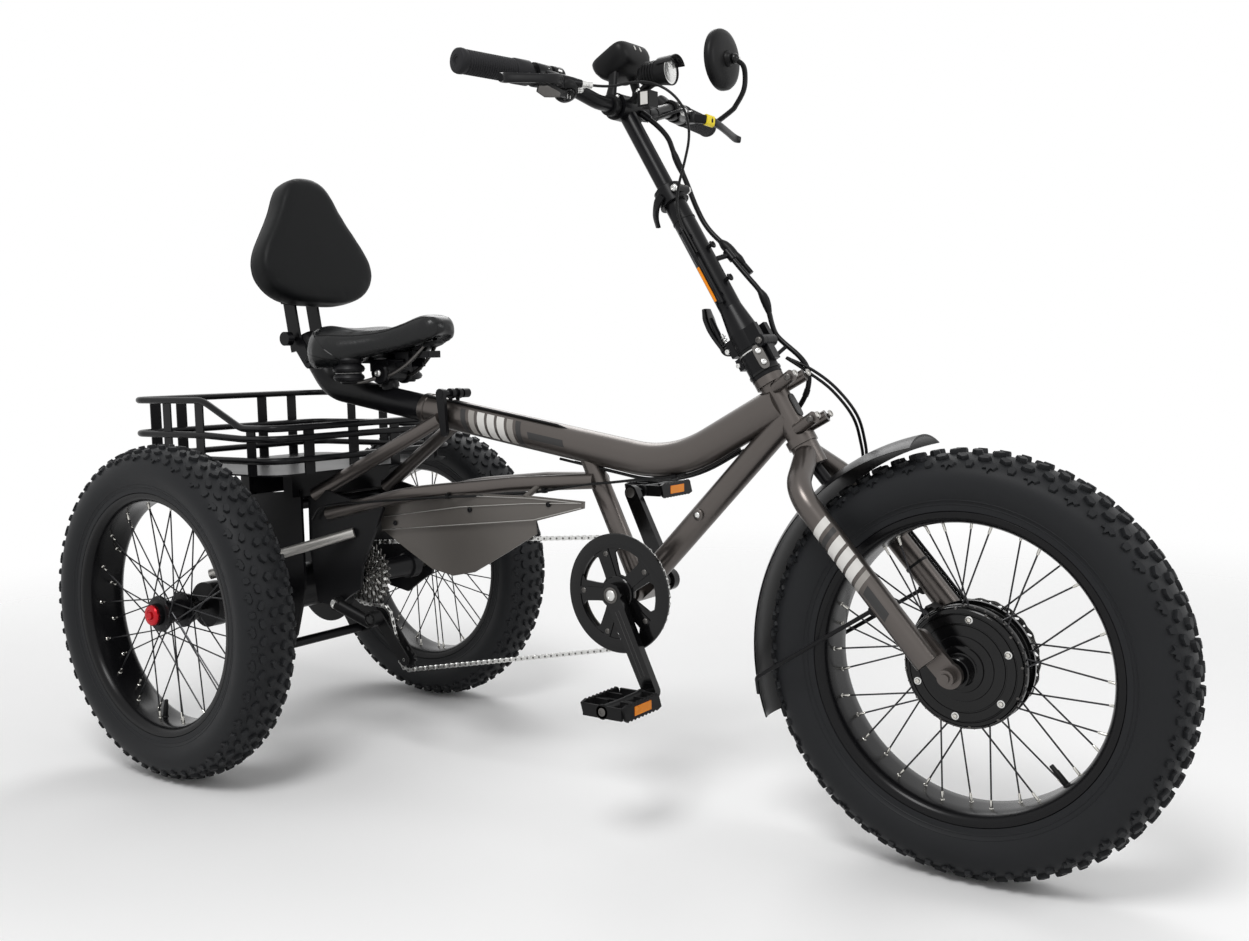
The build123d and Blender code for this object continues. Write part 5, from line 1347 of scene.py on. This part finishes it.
def display():
    """Display unit with its glass towards the rider, a hooded back and two clamped arms."""
    top = vec(-sin(DISPLAY_LEAN), 0, cos(DISPLAY_LEAN))
    front = vec(cos(DISPLAY_LEAN), 0, sin(DISPLAY_LEAN))
    centre = on_axis(BAR_UP)
    face = plane_of(centre + TOP * DISPLAY_UP, front, top)
    form = Form()
    points = [face @ vec(x, y, z) for z, length, width in DISPLAY_LAYERS for x, y in oval(length, width, 40, 5.0)]
    form.add((points, strips(len(DISPLAY_LAYERS), 40, ends=True)), "black_plastic")
    form.add(slab(oval(57, 73, 40, 6.0), 16.6, 17.6, face), "gloss_black")
    form.add(slab(oval(40, 62, 40, 8.0), 17.6, 17.9, face), "screen")
    for y in (-22, 0, 22):
        form.add(slab(oval(5, 13, 20, 2.6), 17.4, 18.6, face @ Matrix.Translation((-24, y, 0))), "black_plastic")
    for y in (-7.2, 7.2):
        form.add(slab(oval(2.4, 8, 14, 3.0), -0.6, 0.8, plane_of(face @ vec(33.8, y, 6), LEFT, front)), "light_print")
    for side in SIDES:
        foot = centre + LEFT * side * 34
        form.add(turned(cuff(BAR_R + 0.2, 16, 7, drop=0.8), foot, LEFT, 30, closed=True), "black_plastic")
        form.add(blade([foot + TOP * 12, foot + vec(2, side * -3, 30), foot + vec(0, side * -8, 52)],
                       [17, 13, 17], [10, 8, 10], FORWARD), "black_plastic")
        form.add(button(foot + vec(12, 0, 12), (0.8, 0, 0.6), 3.0, 2.4, 14), "steel")
    make_piece("display_unit", "bars", form, bevel=0.3, replaces=["display"], sharp=40)


def headlight():
    clamp = on_axis(BAR_UP)
    centre = clamp + vec(58, 0, 44)
    form = Form()
    for look, sides, profile in (
            ("black_plastic", 44, [(0, -27), (8, -26.6), (13, -24), (15.4, -18), (17, 0), (19.4, 18), (21.2, 27),
                                   (21.2, 29), (19.6, 29.4), (19.2, 26.5)]),
            ("reflector", 44, [(19.4, 27.4), (17.8, 18), (13.5, 9), (7, 4.4), (3.4, 3.6), (0, 3.6)]),
            ("amber", 20, [(0, 6), (2.6, 6), (3.6, 8), (2.8, 11), (0, 12)])):
        form.add(turned(profile, centre, FORWARD, sides), look)
    form.add(turned([(21.6, 12), (22.0, 14), (22.6, 40), (22.0, 40.6), (21.2, 40), (20.9, 14)], centre, FORWARD, 20,
                    closed=True, sweep=(-68, 136), zero=TOP), "black_plastic")
    for i in range(5):
        form.add(turned([(18.2, -2), (18.9, -1.4), (18.9, 0.4), (18.2, 1)], centre + FORWARD * (5 * i - 14), FORWARD,
                        36, closed=True), "black_plastic")
    form.add(blade([clamp + vec(16, 0, 8), clamp + vec(34, 0, 22), centre + vec(-4, 0, -12)], [18, 16, 20],
                   [9, 8, 10], LEFT), "black_plastic")
    form.add(block(clamp + vec(44, 0, 8), (20, 26, 24)), "black_plastic")
    form.add(block(clamp + vec(46, -13.3, 8), (13, 0.8, 19)), "light_print")
    form.add(button(clamp + vec(33, -8, 21), -LEFT, 4.0, 3.0, 16), "steel")
    make_piece("headlight_unit", "bars", form, bevel=0.3, replaces=["headlight"], sharp=40)
    form = Form().add(turned([(0, 28.6), (12, 28.2), (19.5, 26.8), (19.5, 26.0), (0, 26.6)], centre, FORWARD, 44),
                      "lens")
    make_piece("headlight_lens", "bars", form, sharp=60)


def mirror():
    points, run = bar_half(1)
    tip = points[3]
    plug = tip + run * 9
    centre = tip + vec(36.5, -2.0, 110.1)
    elbow = plug + vec(44.2, 12.2, 29.1)
    turn = elbow + vec(26.0, 0.0, 38.0)
    ball = centre + vec(20, 2, -1)
    form = Form()
    for look, sides, profile in (
            ("black_plastic", 72, [(47.6, -7.6), (48.6, -9), (51.6, -9), (52, -7), (52, -1), (49.5, 3.4), (42, 6.8),
                                   (28, 8.6), (14, 9), (0, 9)]),
            ("mirror_glass", 72, [(0, -7.9), (48.2, -7.4), (48.2, -6.6), (0, -6.6)]),
            ("black_plastic", 36, [(0, 8), (14, 8), (14, 11), (11.5, 13.5), (10, 17), (0, 18)])):
        form.add(turned(profile, centre, FORWARD, sides), look)
    form.add(turned([(0, -9), (4.4, -8), (7.4, -5), (8.6, 0), (7.4, 5), (4.4, 8), (0, 9)], ball, TOP, 24),
             "gloss_black")
    form.add(button(ball + vec(6, 6, 0), (0.7, 0.7, 0), 3.6, 2.6, 16), "steel")
    route = eased([plug, plug.lerp(elbow, 0.86), elbow.lerp(turn, 0.16), turn.lerp(elbow, 0.25),
                   turn + vec(-3, 0, 14), centre + vec(31, 12, -12), ball], 8)
    form.add(blade(route, [11, 10, 9, 9, 9, 9, 8], [7.5, 7.5, 7.5, 7.5, 8], LEFT), "black_plastic")
    form.add(turned([(0, 2), (9.5, 2), (10, 3), (10, 12), (9, 14.4), (0, 14.8)], tip, run, 30), "black_plastic")
    form.add(turned([(6.2, -3), (8.4, -3), (8.8, 0), (8.4, 5), (6.2, 5)], plug, elbow - plug, 24, closed=True),
             "black_plastic")
    form.add(button(tip + run * 14.6, run, 4.2, 2.0), "steel")
    make_piece("mirror_unit", "bars", form, replaces=["mirror"], sharp=45)


# ---------------------------------------------------------------- stem and head
GUIDE_LOW = HINGE_UP + 79
GUIDE_HIGH = HINGE_UP + 204
GUIDE_AHEAD = 7.4
GUIDE_SIDE = -28.0


def post_clamp():
    """Bolt, rings and lever of the clamp at the top of the stem, and two hooks below it."""
    form = Form()
    side = -(STEM_R + 5)
    band = STEM_TOP - 13
    form.add(rod(on_axis(band, 20, -14), on_axis(band, 20, 14), 7, sides=22), "black_metal")
    form.add(rod(on_axis(band, 20, -18), on_axis(band, 20, 20), 3.4, sides=16), "steel")
    form.add(button(on_axis(band, 20, -18), -LEFT, 5.6, 4.0, 20), "steel")
    form.add(hex_nut(on_axis(band, 20, 17), LEFT, 10, 5), "steel")
    for look, profile in (
            ("black_metal", [(STEM_R + 4.6, -13.6), (STEM_R + 6.0, -13), (STEM_R + 6.0, -10.5), (STEM_R + 4.6, -10)]),
            ("black_plastic", [(POST_R + 0.3, 12.8), (STEM_R + 3, 12.8), (STEM_R + 2, 15.5), (POST_R + 0.3, 16.2)])):
        form.add(turned(profile, on_axis(band), UP, 40, closed=True), look)
    lever = [on_axis(band + up, ahead, side + more) for up, ahead, more in (
        (0, -1, -3), (-6, -13, -4), (-16, -30, 6), (-30, -38, 12))]
    form.add(blade(eased(lever, 6), [12, 13, 14, 12], [7, 6, 5, 5], UP), "black_metal")
    for up in (697, 640):
        post = on_axis(up, STEM_R - 1, -4)
        form.add(rod(post, post + AHEAD * 9, 3.0, sides=14), "black_metal")
        hook = [post + AHEAD * 9 + (UP * cos(a) + LEFT * sin(a)) * 4.6
                for a in (radians(30 + 24 * i) for i in range(13))]
        form.add(tube(hook, 2.0, 10), "black_metal")
    make_piece("stem_clamp", "folding_stem", form, bevel=0.5, sharp=42)


def guide_trim():
    """Amber strip and end clips of the cable guide."""
    form = Form()
    strip = plane_of(on_axis(GUIDE_LOW + 30, GUIDE_AHEAD - 5.2, GUIDE_SIDE - 8.95), UP, -LEFT)
    form.add(block((0, 0, 0.3), (58, 4.0, 0.9), strip), "amber")
    for up in (GUIDE_LOW + 3, GUIDE_HIGH - 3):
        form.add(turned(cuff(8.9, 10.2, 4, 0.3), on_axis(up, GUIDE_AHEAD, GUIDE_SIDE), UP, 22, closed=True,
                        sweep=(0, 180), zero=LEFT), "black_metal")
    form.add(turned(ring(STEM_R + 0.1, STEM_R + 0.9, 1.2, 1), on_axis(GUIDE_HIGH + 20), UP, 36, closed=True),
             "black_plastic")
    make_piece("guide_trim", "folding_stem", form)


def latch_trim():
    """Lever, spring and bolts of the latch on the folding hinge."""
    form = Form()
    form.add(block((0, 0, 0), (26, 30, 16), plane_of(on_axis(HINGE_UP + 14, -21), UP, -AHEAD)), "black_metal")
    pad = eased([on_axis(HINGE_UP + up, ahead) for up, ahead in ((22, -40), (48, -43), (72, -41), (92, -36))], 6)
    form.add(blade(pad, [16, 20, 27, 29, 20], [8, 8, 9, 9, 7], LEFT), "gloss_black")
    spring = []
    for i in range(41):
        a = 2 * pi * i / 8
        spring.append(on_axis(HINGE_UP + 16 + i * 0.62, -33) + (AHEAD * cos(a) + LEFT * sin(a)) * 4.4)
    form.add(tube(spring, 0.9, 8), "steel")
    form.add(rod(on_axis(HINGE_UP + 10, -33), on_axis(HINGE_UP + 46, -33), 2.4, sides=14), "steel")
    for side in SIDES:
        form.add(button(on_axis(HINGE_UP + 14, -30, side * 15), LEFT * side, 4.4, 3), "steel")
        form.add(button(on_axis(HINGE_UP, HINGE_AHEAD, side * 20), LEFT * side, 5.4, 3.0, 20), "dark_steel")
    make_piece("latch_trim", "folding_stem", form, bevel=0.5)


def hinge_plate():
    """Bolted plate, rings and keeper on the lower half of the folding hinge."""
    form = Form()
    plate = plane_of(on_axis(HINGE_UP - 22, 15, -19.5), UP, AHEAD * 0.62 - LEFT * 0.78)
    form.add(slab(oval(38, 15, 24, 3.4), -1, 2.6, plate), "dark_steel")
    for along in (-9, 9):
        form.add(button(plate @ vec(along, 0, 2.4), plate.to_3x3() @ TOP, 4.6, 3.0, 20), "steel")
    form.add(turned(ring(23.1, 24.6, 2, 1.6), on_axis(HEAD_TOP + 8), UP, 44, closed=True), "gloss_black")
    form.add(turned(ring(23.1, 24.0, 1, 0.8), on_axis(HINGE_UP - 6), UP, 44, closed=True), "steel")
    form.add(block((0, 0, 0), (18, 26, 10), plane_of(on_axis(HINGE_UP - 12, -23), UP, -AHEAD)), "black_metal")
    form.add(button(on_axis(HINGE_UP - 12, -26, -13), -LEFT, 4.0, 3, 16), "steel")
    make_piece("hinge_plate", "steering", form, bevel=0.4)


def head_trim():
    """Bolts in the lugs of the head tube, the headset rings and a bare badge plate."""
    form = Form()
    for up in (HEAD_LOW + 22, HEAD_LOW + 90):
        for side in SIDES:
            form.add(button(on_axis(up, 50, side * 20), AHEAD, 5.4, 2.6, 20), "brace_metal")
            form.add(button(on_axis(up, 40, side * 27.5), LEFT * side, 5.0, 2.4, 20), "dark_steel")
    make_piece("lug_bolts", "frame", form)
    form = Form()
    for up in (HEAD_LOW + 4.5, HEAD_TOP - 4.5):
        form.add(turned([(HEAD_R + 0.1, -1.5), (HEAD_R + 3.6, -1.5), (HEAD_R + 4.0, 0), (HEAD_R + 3.6, 1.5),
                         (HEAD_R + 0.1, 1.5)], on_axis(up), UP, 44, closed=True), "black_metal")
    badge = plane_of(on_axis(HEAD_LOW + 56, HEAD_R + 0.4), UP, AHEAD)
    form.add(slab(oval(36, 15, 24, 4.0), -0.6, 1.2, badge), "dark_print")
    make_piece("headset_rings", "frame", form, bevel=0.2)


# ---------------------------------------------------------------- cables
BAR_LOOM = [
    # each route is (up the steering axis from its base, ahead of it, to the left)
    (-30, 18, 24), (-59, 27, 37), (-94, 17, 43), (-136, 13, 46), (-179, 6, 47), (-218, 5, 47),
    (-256, 16, 49), (-289, 27, 51), (-317, 31, 55),
]
RIGHT_CABLE = [
    (0, 24, -135), (-13, 40, -101), (-14, 62, -70), (-24, 82, -46), (-54, 98, -36), (-88, 100, -30),
    (-120, 86, -27), (-147, 58, -27), (-170, 31, -28), (-194, 13, -28.5), (-218, 7, -28.2),
    (-244, 7.6, -28.1), (-270, 7.4, -28),
]
STEM_LOOM = [(141, 25, 34), (111, 31, 34), (75, 39, 36), (53, 36, 39), (35, 30, 40)]
BASE_LOOM = [(35, 30, 40), (17, 24, 41), (0, 26, 42), (-20, 34, 43)]
FRAME_LOOM = [
    (-20, 34, 43), (-40, 42, 44), (-63, 41, 47), (-85, 25, 49), (-100, -2, 49), (-109, -34, 47),
    (-119, -66, 43), (-131, -98, 37),
]
DOWN_WAY = (BB - DOWN_TOP).normalized()
PORT = DOWN_TOP + DOWN_WAY * 125.3 + vec(DOWN_WAY.z, 0, -DOWN_WAY.x) * 4.0 + LEFT * 27.0
LOOM_D = 8.0
CABLE_D = 4.0


def curve_of(name, points, diameter):
    data = bpy.data.curves.new(name, "CURVE")
    data.dimensions = "3D"
    data.resolution_u = 10
    spline = data.splines.new("NURBS")
    spline.points.add(len(points) - 1)
    for knot, place in zip(spline.points, points):
        knot.co = (*(place * MM), 1)
    spline.order_u = 3
    spline.use_endpoint_u = True
    data.bevel_depth = diameter / 2 * MM
    data.bevel_resolution = 4
    data.use_fill_caps = True
    return data


def line_of(data):
    """Points along the middle of a curve, in millimetres."""
    depth, data.bevel_depth = data.bevel_depth, 0.0
    holder = bpy.data.objects.new("line", data)
    mesh = bpy.data.meshes.new_from_object(holder)
    line = [v.co / MM for v in mesh.vertices]
    bpy.data.objects.remove(holder)
    bpy.data.meshes.remove(mesh)
    data.bevel_depth = depth
    return line


def cable(name, body, base, route, diameter, swells=(), end=()):
    """Free cable along its route; each swell is a sleeve of (start, end, radii) on it."""
    points = [on_axis(base + up, ahead, side) for up, ahead, side in route] + list(end)
    data = curve_of(name + "_cable", points, diameter)
    made = linked(name + "_cable", data)
    data.materials.append(MATS["cable"])
    line = line_of(data)
    spans = [0.0]
    for a, b in zip(line, line[1:]):
        spans.append(spans[-1] + (b - a).length)
    length = spans[-1]
    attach(made, body)
    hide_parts(name)
    for i, (first, last, radii) in enumerate(swells):
        stretch = [p for p, span in zip(line, spans) if first <= span / length <= last]
        form = Form().add(tube(stretch, spread(radii, len(stretch)), 16), "black_plastic")
        make_piece(f"{name}_sleeve_{i}", body, form, sharp=60)


def cables():
    cable("bar_loom", "bars", BAR_UP, BAR_LOOM, LOOM_D,
          [(0.20, 0.34, [4.2, 5.4, 5.4, 5.2, 4.2]), (0.76, 0.94, [4.2, 7.2, 7.8, 7.4, 6.0, 6.6, 4.4])])
    cable("right_cable", "bars", BAR_UP, RIGHT_CABLE, CABLE_D, [(0.0, 0.04, [3.2, 3.2, 2.6])])
    cable("stem_loom", "folding_stem", HINGE_UP, STEM_LOOM, LOOM_D, [(0.58, 0.94, [4.2, 6.4, 7.0, 6.4, 4.4])])
    cable("base_loom", "steering", HINGE_UP, BASE_LOOM, LOOM_D)
    cable("frame_loom", "frame", HINGE_UP, FRAME_LOOM, LOOM_D, [(0.30, 0.36, [4.6, 4.6])], end=[PORT])


def main_line(steps=12):
    """Middle line of the main tube, from its rear end to the head tube."""
    half_turn = MAIN_DIR.angle(NECK_DIR) / 2
    reach = MAIN_BEND * tan(half_turn)
    first, last = BEND - MAIN_DIR * reach, BEND + NECK_DIR * reach
    centre = first + vec(-MAIN_DIR.z, 0, MAIN_DIR.x) * MAIN_BEND
    line = [COLLAR.lerp(first, i / steps) for i in range(steps)]
    for i in range(steps + 1):
        turn = Matrix.Rotation(-2 * half_turn * i / steps, 3, "Y")
        line.append(centre + turn @ (first - centre))
    return line + [last.lerp(NECK, i / 6) for i in range(1, 7)]


def beside(line, angle, radius):
    """A line laid on a tube in the middle plane: angle from the right side, upwards."""
    made = []
    for place, (way, _, _) in zip(line, frames_along(line)):
        rise = vec(-way.z, 0, way.x)
        made.append(place + (rise * sin(radians(angle)) - LEFT * cos(radians(angle))) * radius)
    return made


STAY_CABLE = [
    # ahead of the rear axle, to the right, above the ground
    (856, 8, 532), (838, 12, 526), (779, 17, 520), (730, 20, 514), (672, 27, 508), (608, 44, 497), (569, 56, 493),
    (473, 76, 486), (434, 84, 484), (311, 99, 474), (253, 101, 468), (190, 102, 462), (140, 102, 452),
    (118, 102, 430),
]


def frame_cables():
    """Cables held against the main tube and the right chain stay with clips, and the boss on the down tube."""
    line = main_line()
    form = Form()
    top = beside(line, 62, MAIN_R + 2.2)[:9] + [beside(line, 62, MAIN_R - 6)[9]]
    form.add(tube(top, 2.2, 10), "cable")
    for angle, start, hang in ((-80, 9, 3.0), (-97, 8, 5.5)):
        form.add(tube(beside(line, angle, MAIN_R + hang)[start:-4], 2.3, 10), "cable")
    stay = [at(x, -y, z) for x, y, z in STAY_CABLE]
    form.add(tube(eased(stay, 6), 2.2, 10), "cable")
    form.add(turned([(2.3, -5), (4.2, -4), (4.2, 4), (2.3, 5)], stay[1], stay[0] - stay[2], 16, closed=True),
             "black_metal")
    for i in (5, 8):
        form.add(block(stay[i] + vec(0, 2, 1), (7, 8, 8)), "black_plastic")
    boss = DOWN_TOP + DOWN_WAY * 205
    form.add(turned([(0, 16), (9, 16), (9, 21), (7.6, 22.6), (0, 22.8)], boss, -LEFT, 24), "frame_paint")
    form.add(button(boss - LEFT * 22.4, -LEFT, 4.6, 2.4), "steel")
    make_piece("frame_cables", "frame", form, sharp=50)


def fork_cables():
    """Brake hose and motor cable down the left fork leg."""
    form = Form()
    for shift in (0, 7):
        down = [on_axis(HINGE_UP + up, ahead, side) for up, ahead, side in (
            (-30, 25, 33 + shift * 0.4), (-64, 40 + shift, 44), (-104, 54 + shift, 56), (-150, 54 + shift, 76),
            (-190, 36 + shift, 94))]
        leg = [fork_line(share, 1) + vec(10, 15 + shift * 0.3, 4) + AHEAD * (3 + shift * 0.6)
               for share in (0.04, 0.2, 0.4, 0.6, 0.8, 0.92)]
        tail = [FRONT_HUB + vec(-14 + shift, 106, 22), FRONT_HUB + vec(-2, 99, 4)]
        form.add(tube(eased(down + leg + tail, 6), 2.3, 10), "cable")
    for share in (0.2, 0.55, 0.85):
        form.add(turned(ring(FORK_LEG_R + 0.1, FORK_LEG_R + 0.9, 2), fork_line(share, 1),
                        fork_line(1, 1) - fork_line(0, 1), 34, closed=True), "black_plastic")
    make_piece("fork_cables", "steering", form, sharp=50)


def bar_cables():
    """Hose of the left brake lever, with its ties on the bar."""
    form = Form()
    points, run = bar_half(1)
    start = on_grip(1, 84) + vec(38, 0, -12)
    route = [start, start - run * 18 + vec(2, 0, -2), points[1] + vec(13, -6, -8), points[0] + vec(14, 44, -12),
             on_axis(BAR_UP - 26, 14, 32), on_axis(BAR_UP - 30, 18, 24)]
    form.add(tube(eased(route, 7), 2.2, 10), "cable")
    bend = points[2] - points[1]
    for spot, way in ((points[0] + LEFT * 58, LEFT), (points[1] + bend * 0.16, bend)):
        form.add(turned(ring(BAR_R + 0.1, BAR_R + 0.9, 2), spot, way, 30, closed=True), "black_plastic")
    make_piece("bar_cables", "bars", form, sharp=50)


# ---------------------------------------------------------------- colours on the frame
def fork_line(share, side):
    """Place on the middle of a fork leg's straight length."""
    shoulder = on_axis(HEAD_LOW - 64, -1, side * FORK_HALF)
    return shoulder.lerp(FRONT_HUB + vec(-24, side * FORK_HALF, 16), share)


TUBE_PRINTS = [
    # start of its lower edge, length, lean of its ends, lower and upper angle, colour
    (92, 11, 17, -44, 48, "dark_print"),
    (110, 13, 17, -44, 48, "mid_print"),
    (130, 16, 17, -44, 48, "light_print"),
    (152, 16, 17, -44, 48, "light_print"),
    (174, 16, 17, -44, 48, "light_print"),
    (196, 13, 17, -44, 48, "mid_print"),
    (215, 11, 17, -44, 48, "dark_print"),
    (246, 74, 5, -12, 12, "dark_print"),
]
FORK_PRINTS = [
    (54, 12, 9, -62, 58, "light_print"),
    (72, 8, 9, -62, 58, "dark_print"),
    (86, 14, 9, -62, 58, "light_print"),
    (105, 14, 9, -62, 58, "light_print"),
    (124, 14, 9, -62, 58, "light_print"),
    (144, 9, 9, -62, 58, "mid_print"),
    (162, 46, 5, -22, 22, "dark_print"),
]


def prints(name, body, radius, ends, rows):
    """Plain slanted bars and panels on both sides of a tube; ends gives its ends for a side."""
    form = Form()
    for side in SIDES:
        line = straight(*ends(side), LEFT * side)
        for start, length, lean, low, high, colour in rows:
            outline = [(start, low * -side), (start + length, low * -side), (start + length + lean, high * -side),
                       (start + lean, high * -side)]
            form.add(wrapped(outline, radius, line), colour)
    make_piece(name, body, form, sharp=60)


GUARD_HIGHLIGHT_RIDGES = [
    # (distance ahead, height) points of thin ridges on the guard's bevels, coloured light as painted highlights
    [(272, 441), (453, 467), (600, 480), (700, 485)],
    [(264, 469), (447, 486), (605, 488.5), (706, 485)],
    [(266, 417.5), (609, 454), (706, 478)],
]


def guard_trim():
    """Screws of the chain guard, thin ridges on its bevels in a light metal as painted highlights, and the collar at
    the rear end of the main tube.
    """
    form = Form()
    for x, z in ((298, 431), (473, 463), (640, 480)):
        form.add(button(at(x, -73.6, z), -LEFT, 4.4, 2.2), "black_metal")
    for highlight_ridge in GUARD_HIGHLIGHT_RIDGES:
        # painted highlights: the ridges take the light brace metal where the plate's bevels would catch the light
        form.add(tube([at(x, -73.9, z) for x, z in highlight_ridge], 0.8, 8), "brace_metal")
    collar = [(MAIN_R + 0.1, -4), (MAIN_R + 1.4, -4), (MAIN_R + 1.8, -3), (MAIN_R + 1.8, 8), (MAIN_R + 0.1, 9)]
    form.add(turned(collar, COLLAR, MAIN_DIR, 48, closed=True), "frame_paint")
    make_piece("guard_trim", "frame", form)


# ---------------------------------------------------------------- finishes of the CAD nodes
NODE_FINISH = {
    "frame_paint": ["main_tube", "head_tube", "down_tube", "seat_strut", "bottom_bracket", "chain_stays",
                    "seat_stays", "fork"],
    "guard_metal": ["chain_guard"],
    "brace_metal": ["axle_braces"],
    "steel": ["front_disc", "chain"],
    "black_plastic": ["controls", "headlight", "mirror", "display", "derailleur", "front_caliper"],
    "grip_rubber": ["grips"],
    "upholstery": ["saddle", "backrest_pad"],
    "gloss_black": ["crank_arms"],
}


def finish_nodes():
    for name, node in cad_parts.items():
        chosen = next((finish for finish, names in NODE_FINISH.items() if name in names), "black_metal")
        if not node.material_slots:
            node.data.materials.append(MATS[chosen])
        for used in node.material_slots:
            used.material = MATS[chosen]


# ---------------------------------------------------------------- the whole trike
bpy.context.scene.view_settings.view_transform = "Standard"
make_camera()
make_world()
make_lamps()
make_floor()
finish_nodes()

for wheel in HUBS:
    tyre(wheel)
rim("front", 83.5, 16.0, 14, -48)
rim("right", 31.0, 22.0, 62, -100)
rim("left", 31.0, 22.0, 62, 60)
hub_motor()
rotor()
rear_hub_caps()
chain()
chainring()
cassette()
derailleur_wheels()
crank_trim()
pedal("right", -1)
pedal("left", 1)
saddle()
saddle_mount()
backrest()
grips()
controls()
display()
headlight()
mirror()
post_clamp()
guide_trim()
latch_trim()
hinge_plate()
head_trim()
cables()
frame_cables()
fork_cables()
bar_cables()
prints("tube_prints", "frame", MAIN_R, lambda side: (COLLAR, BEND), TUBE_PRINTS)
prints("fork_prints", "steering", FORK_LEG_R, lambda side: (fork_line(0, side), fork_line(1, side)), FORK_PRINTS)
guard_trim()
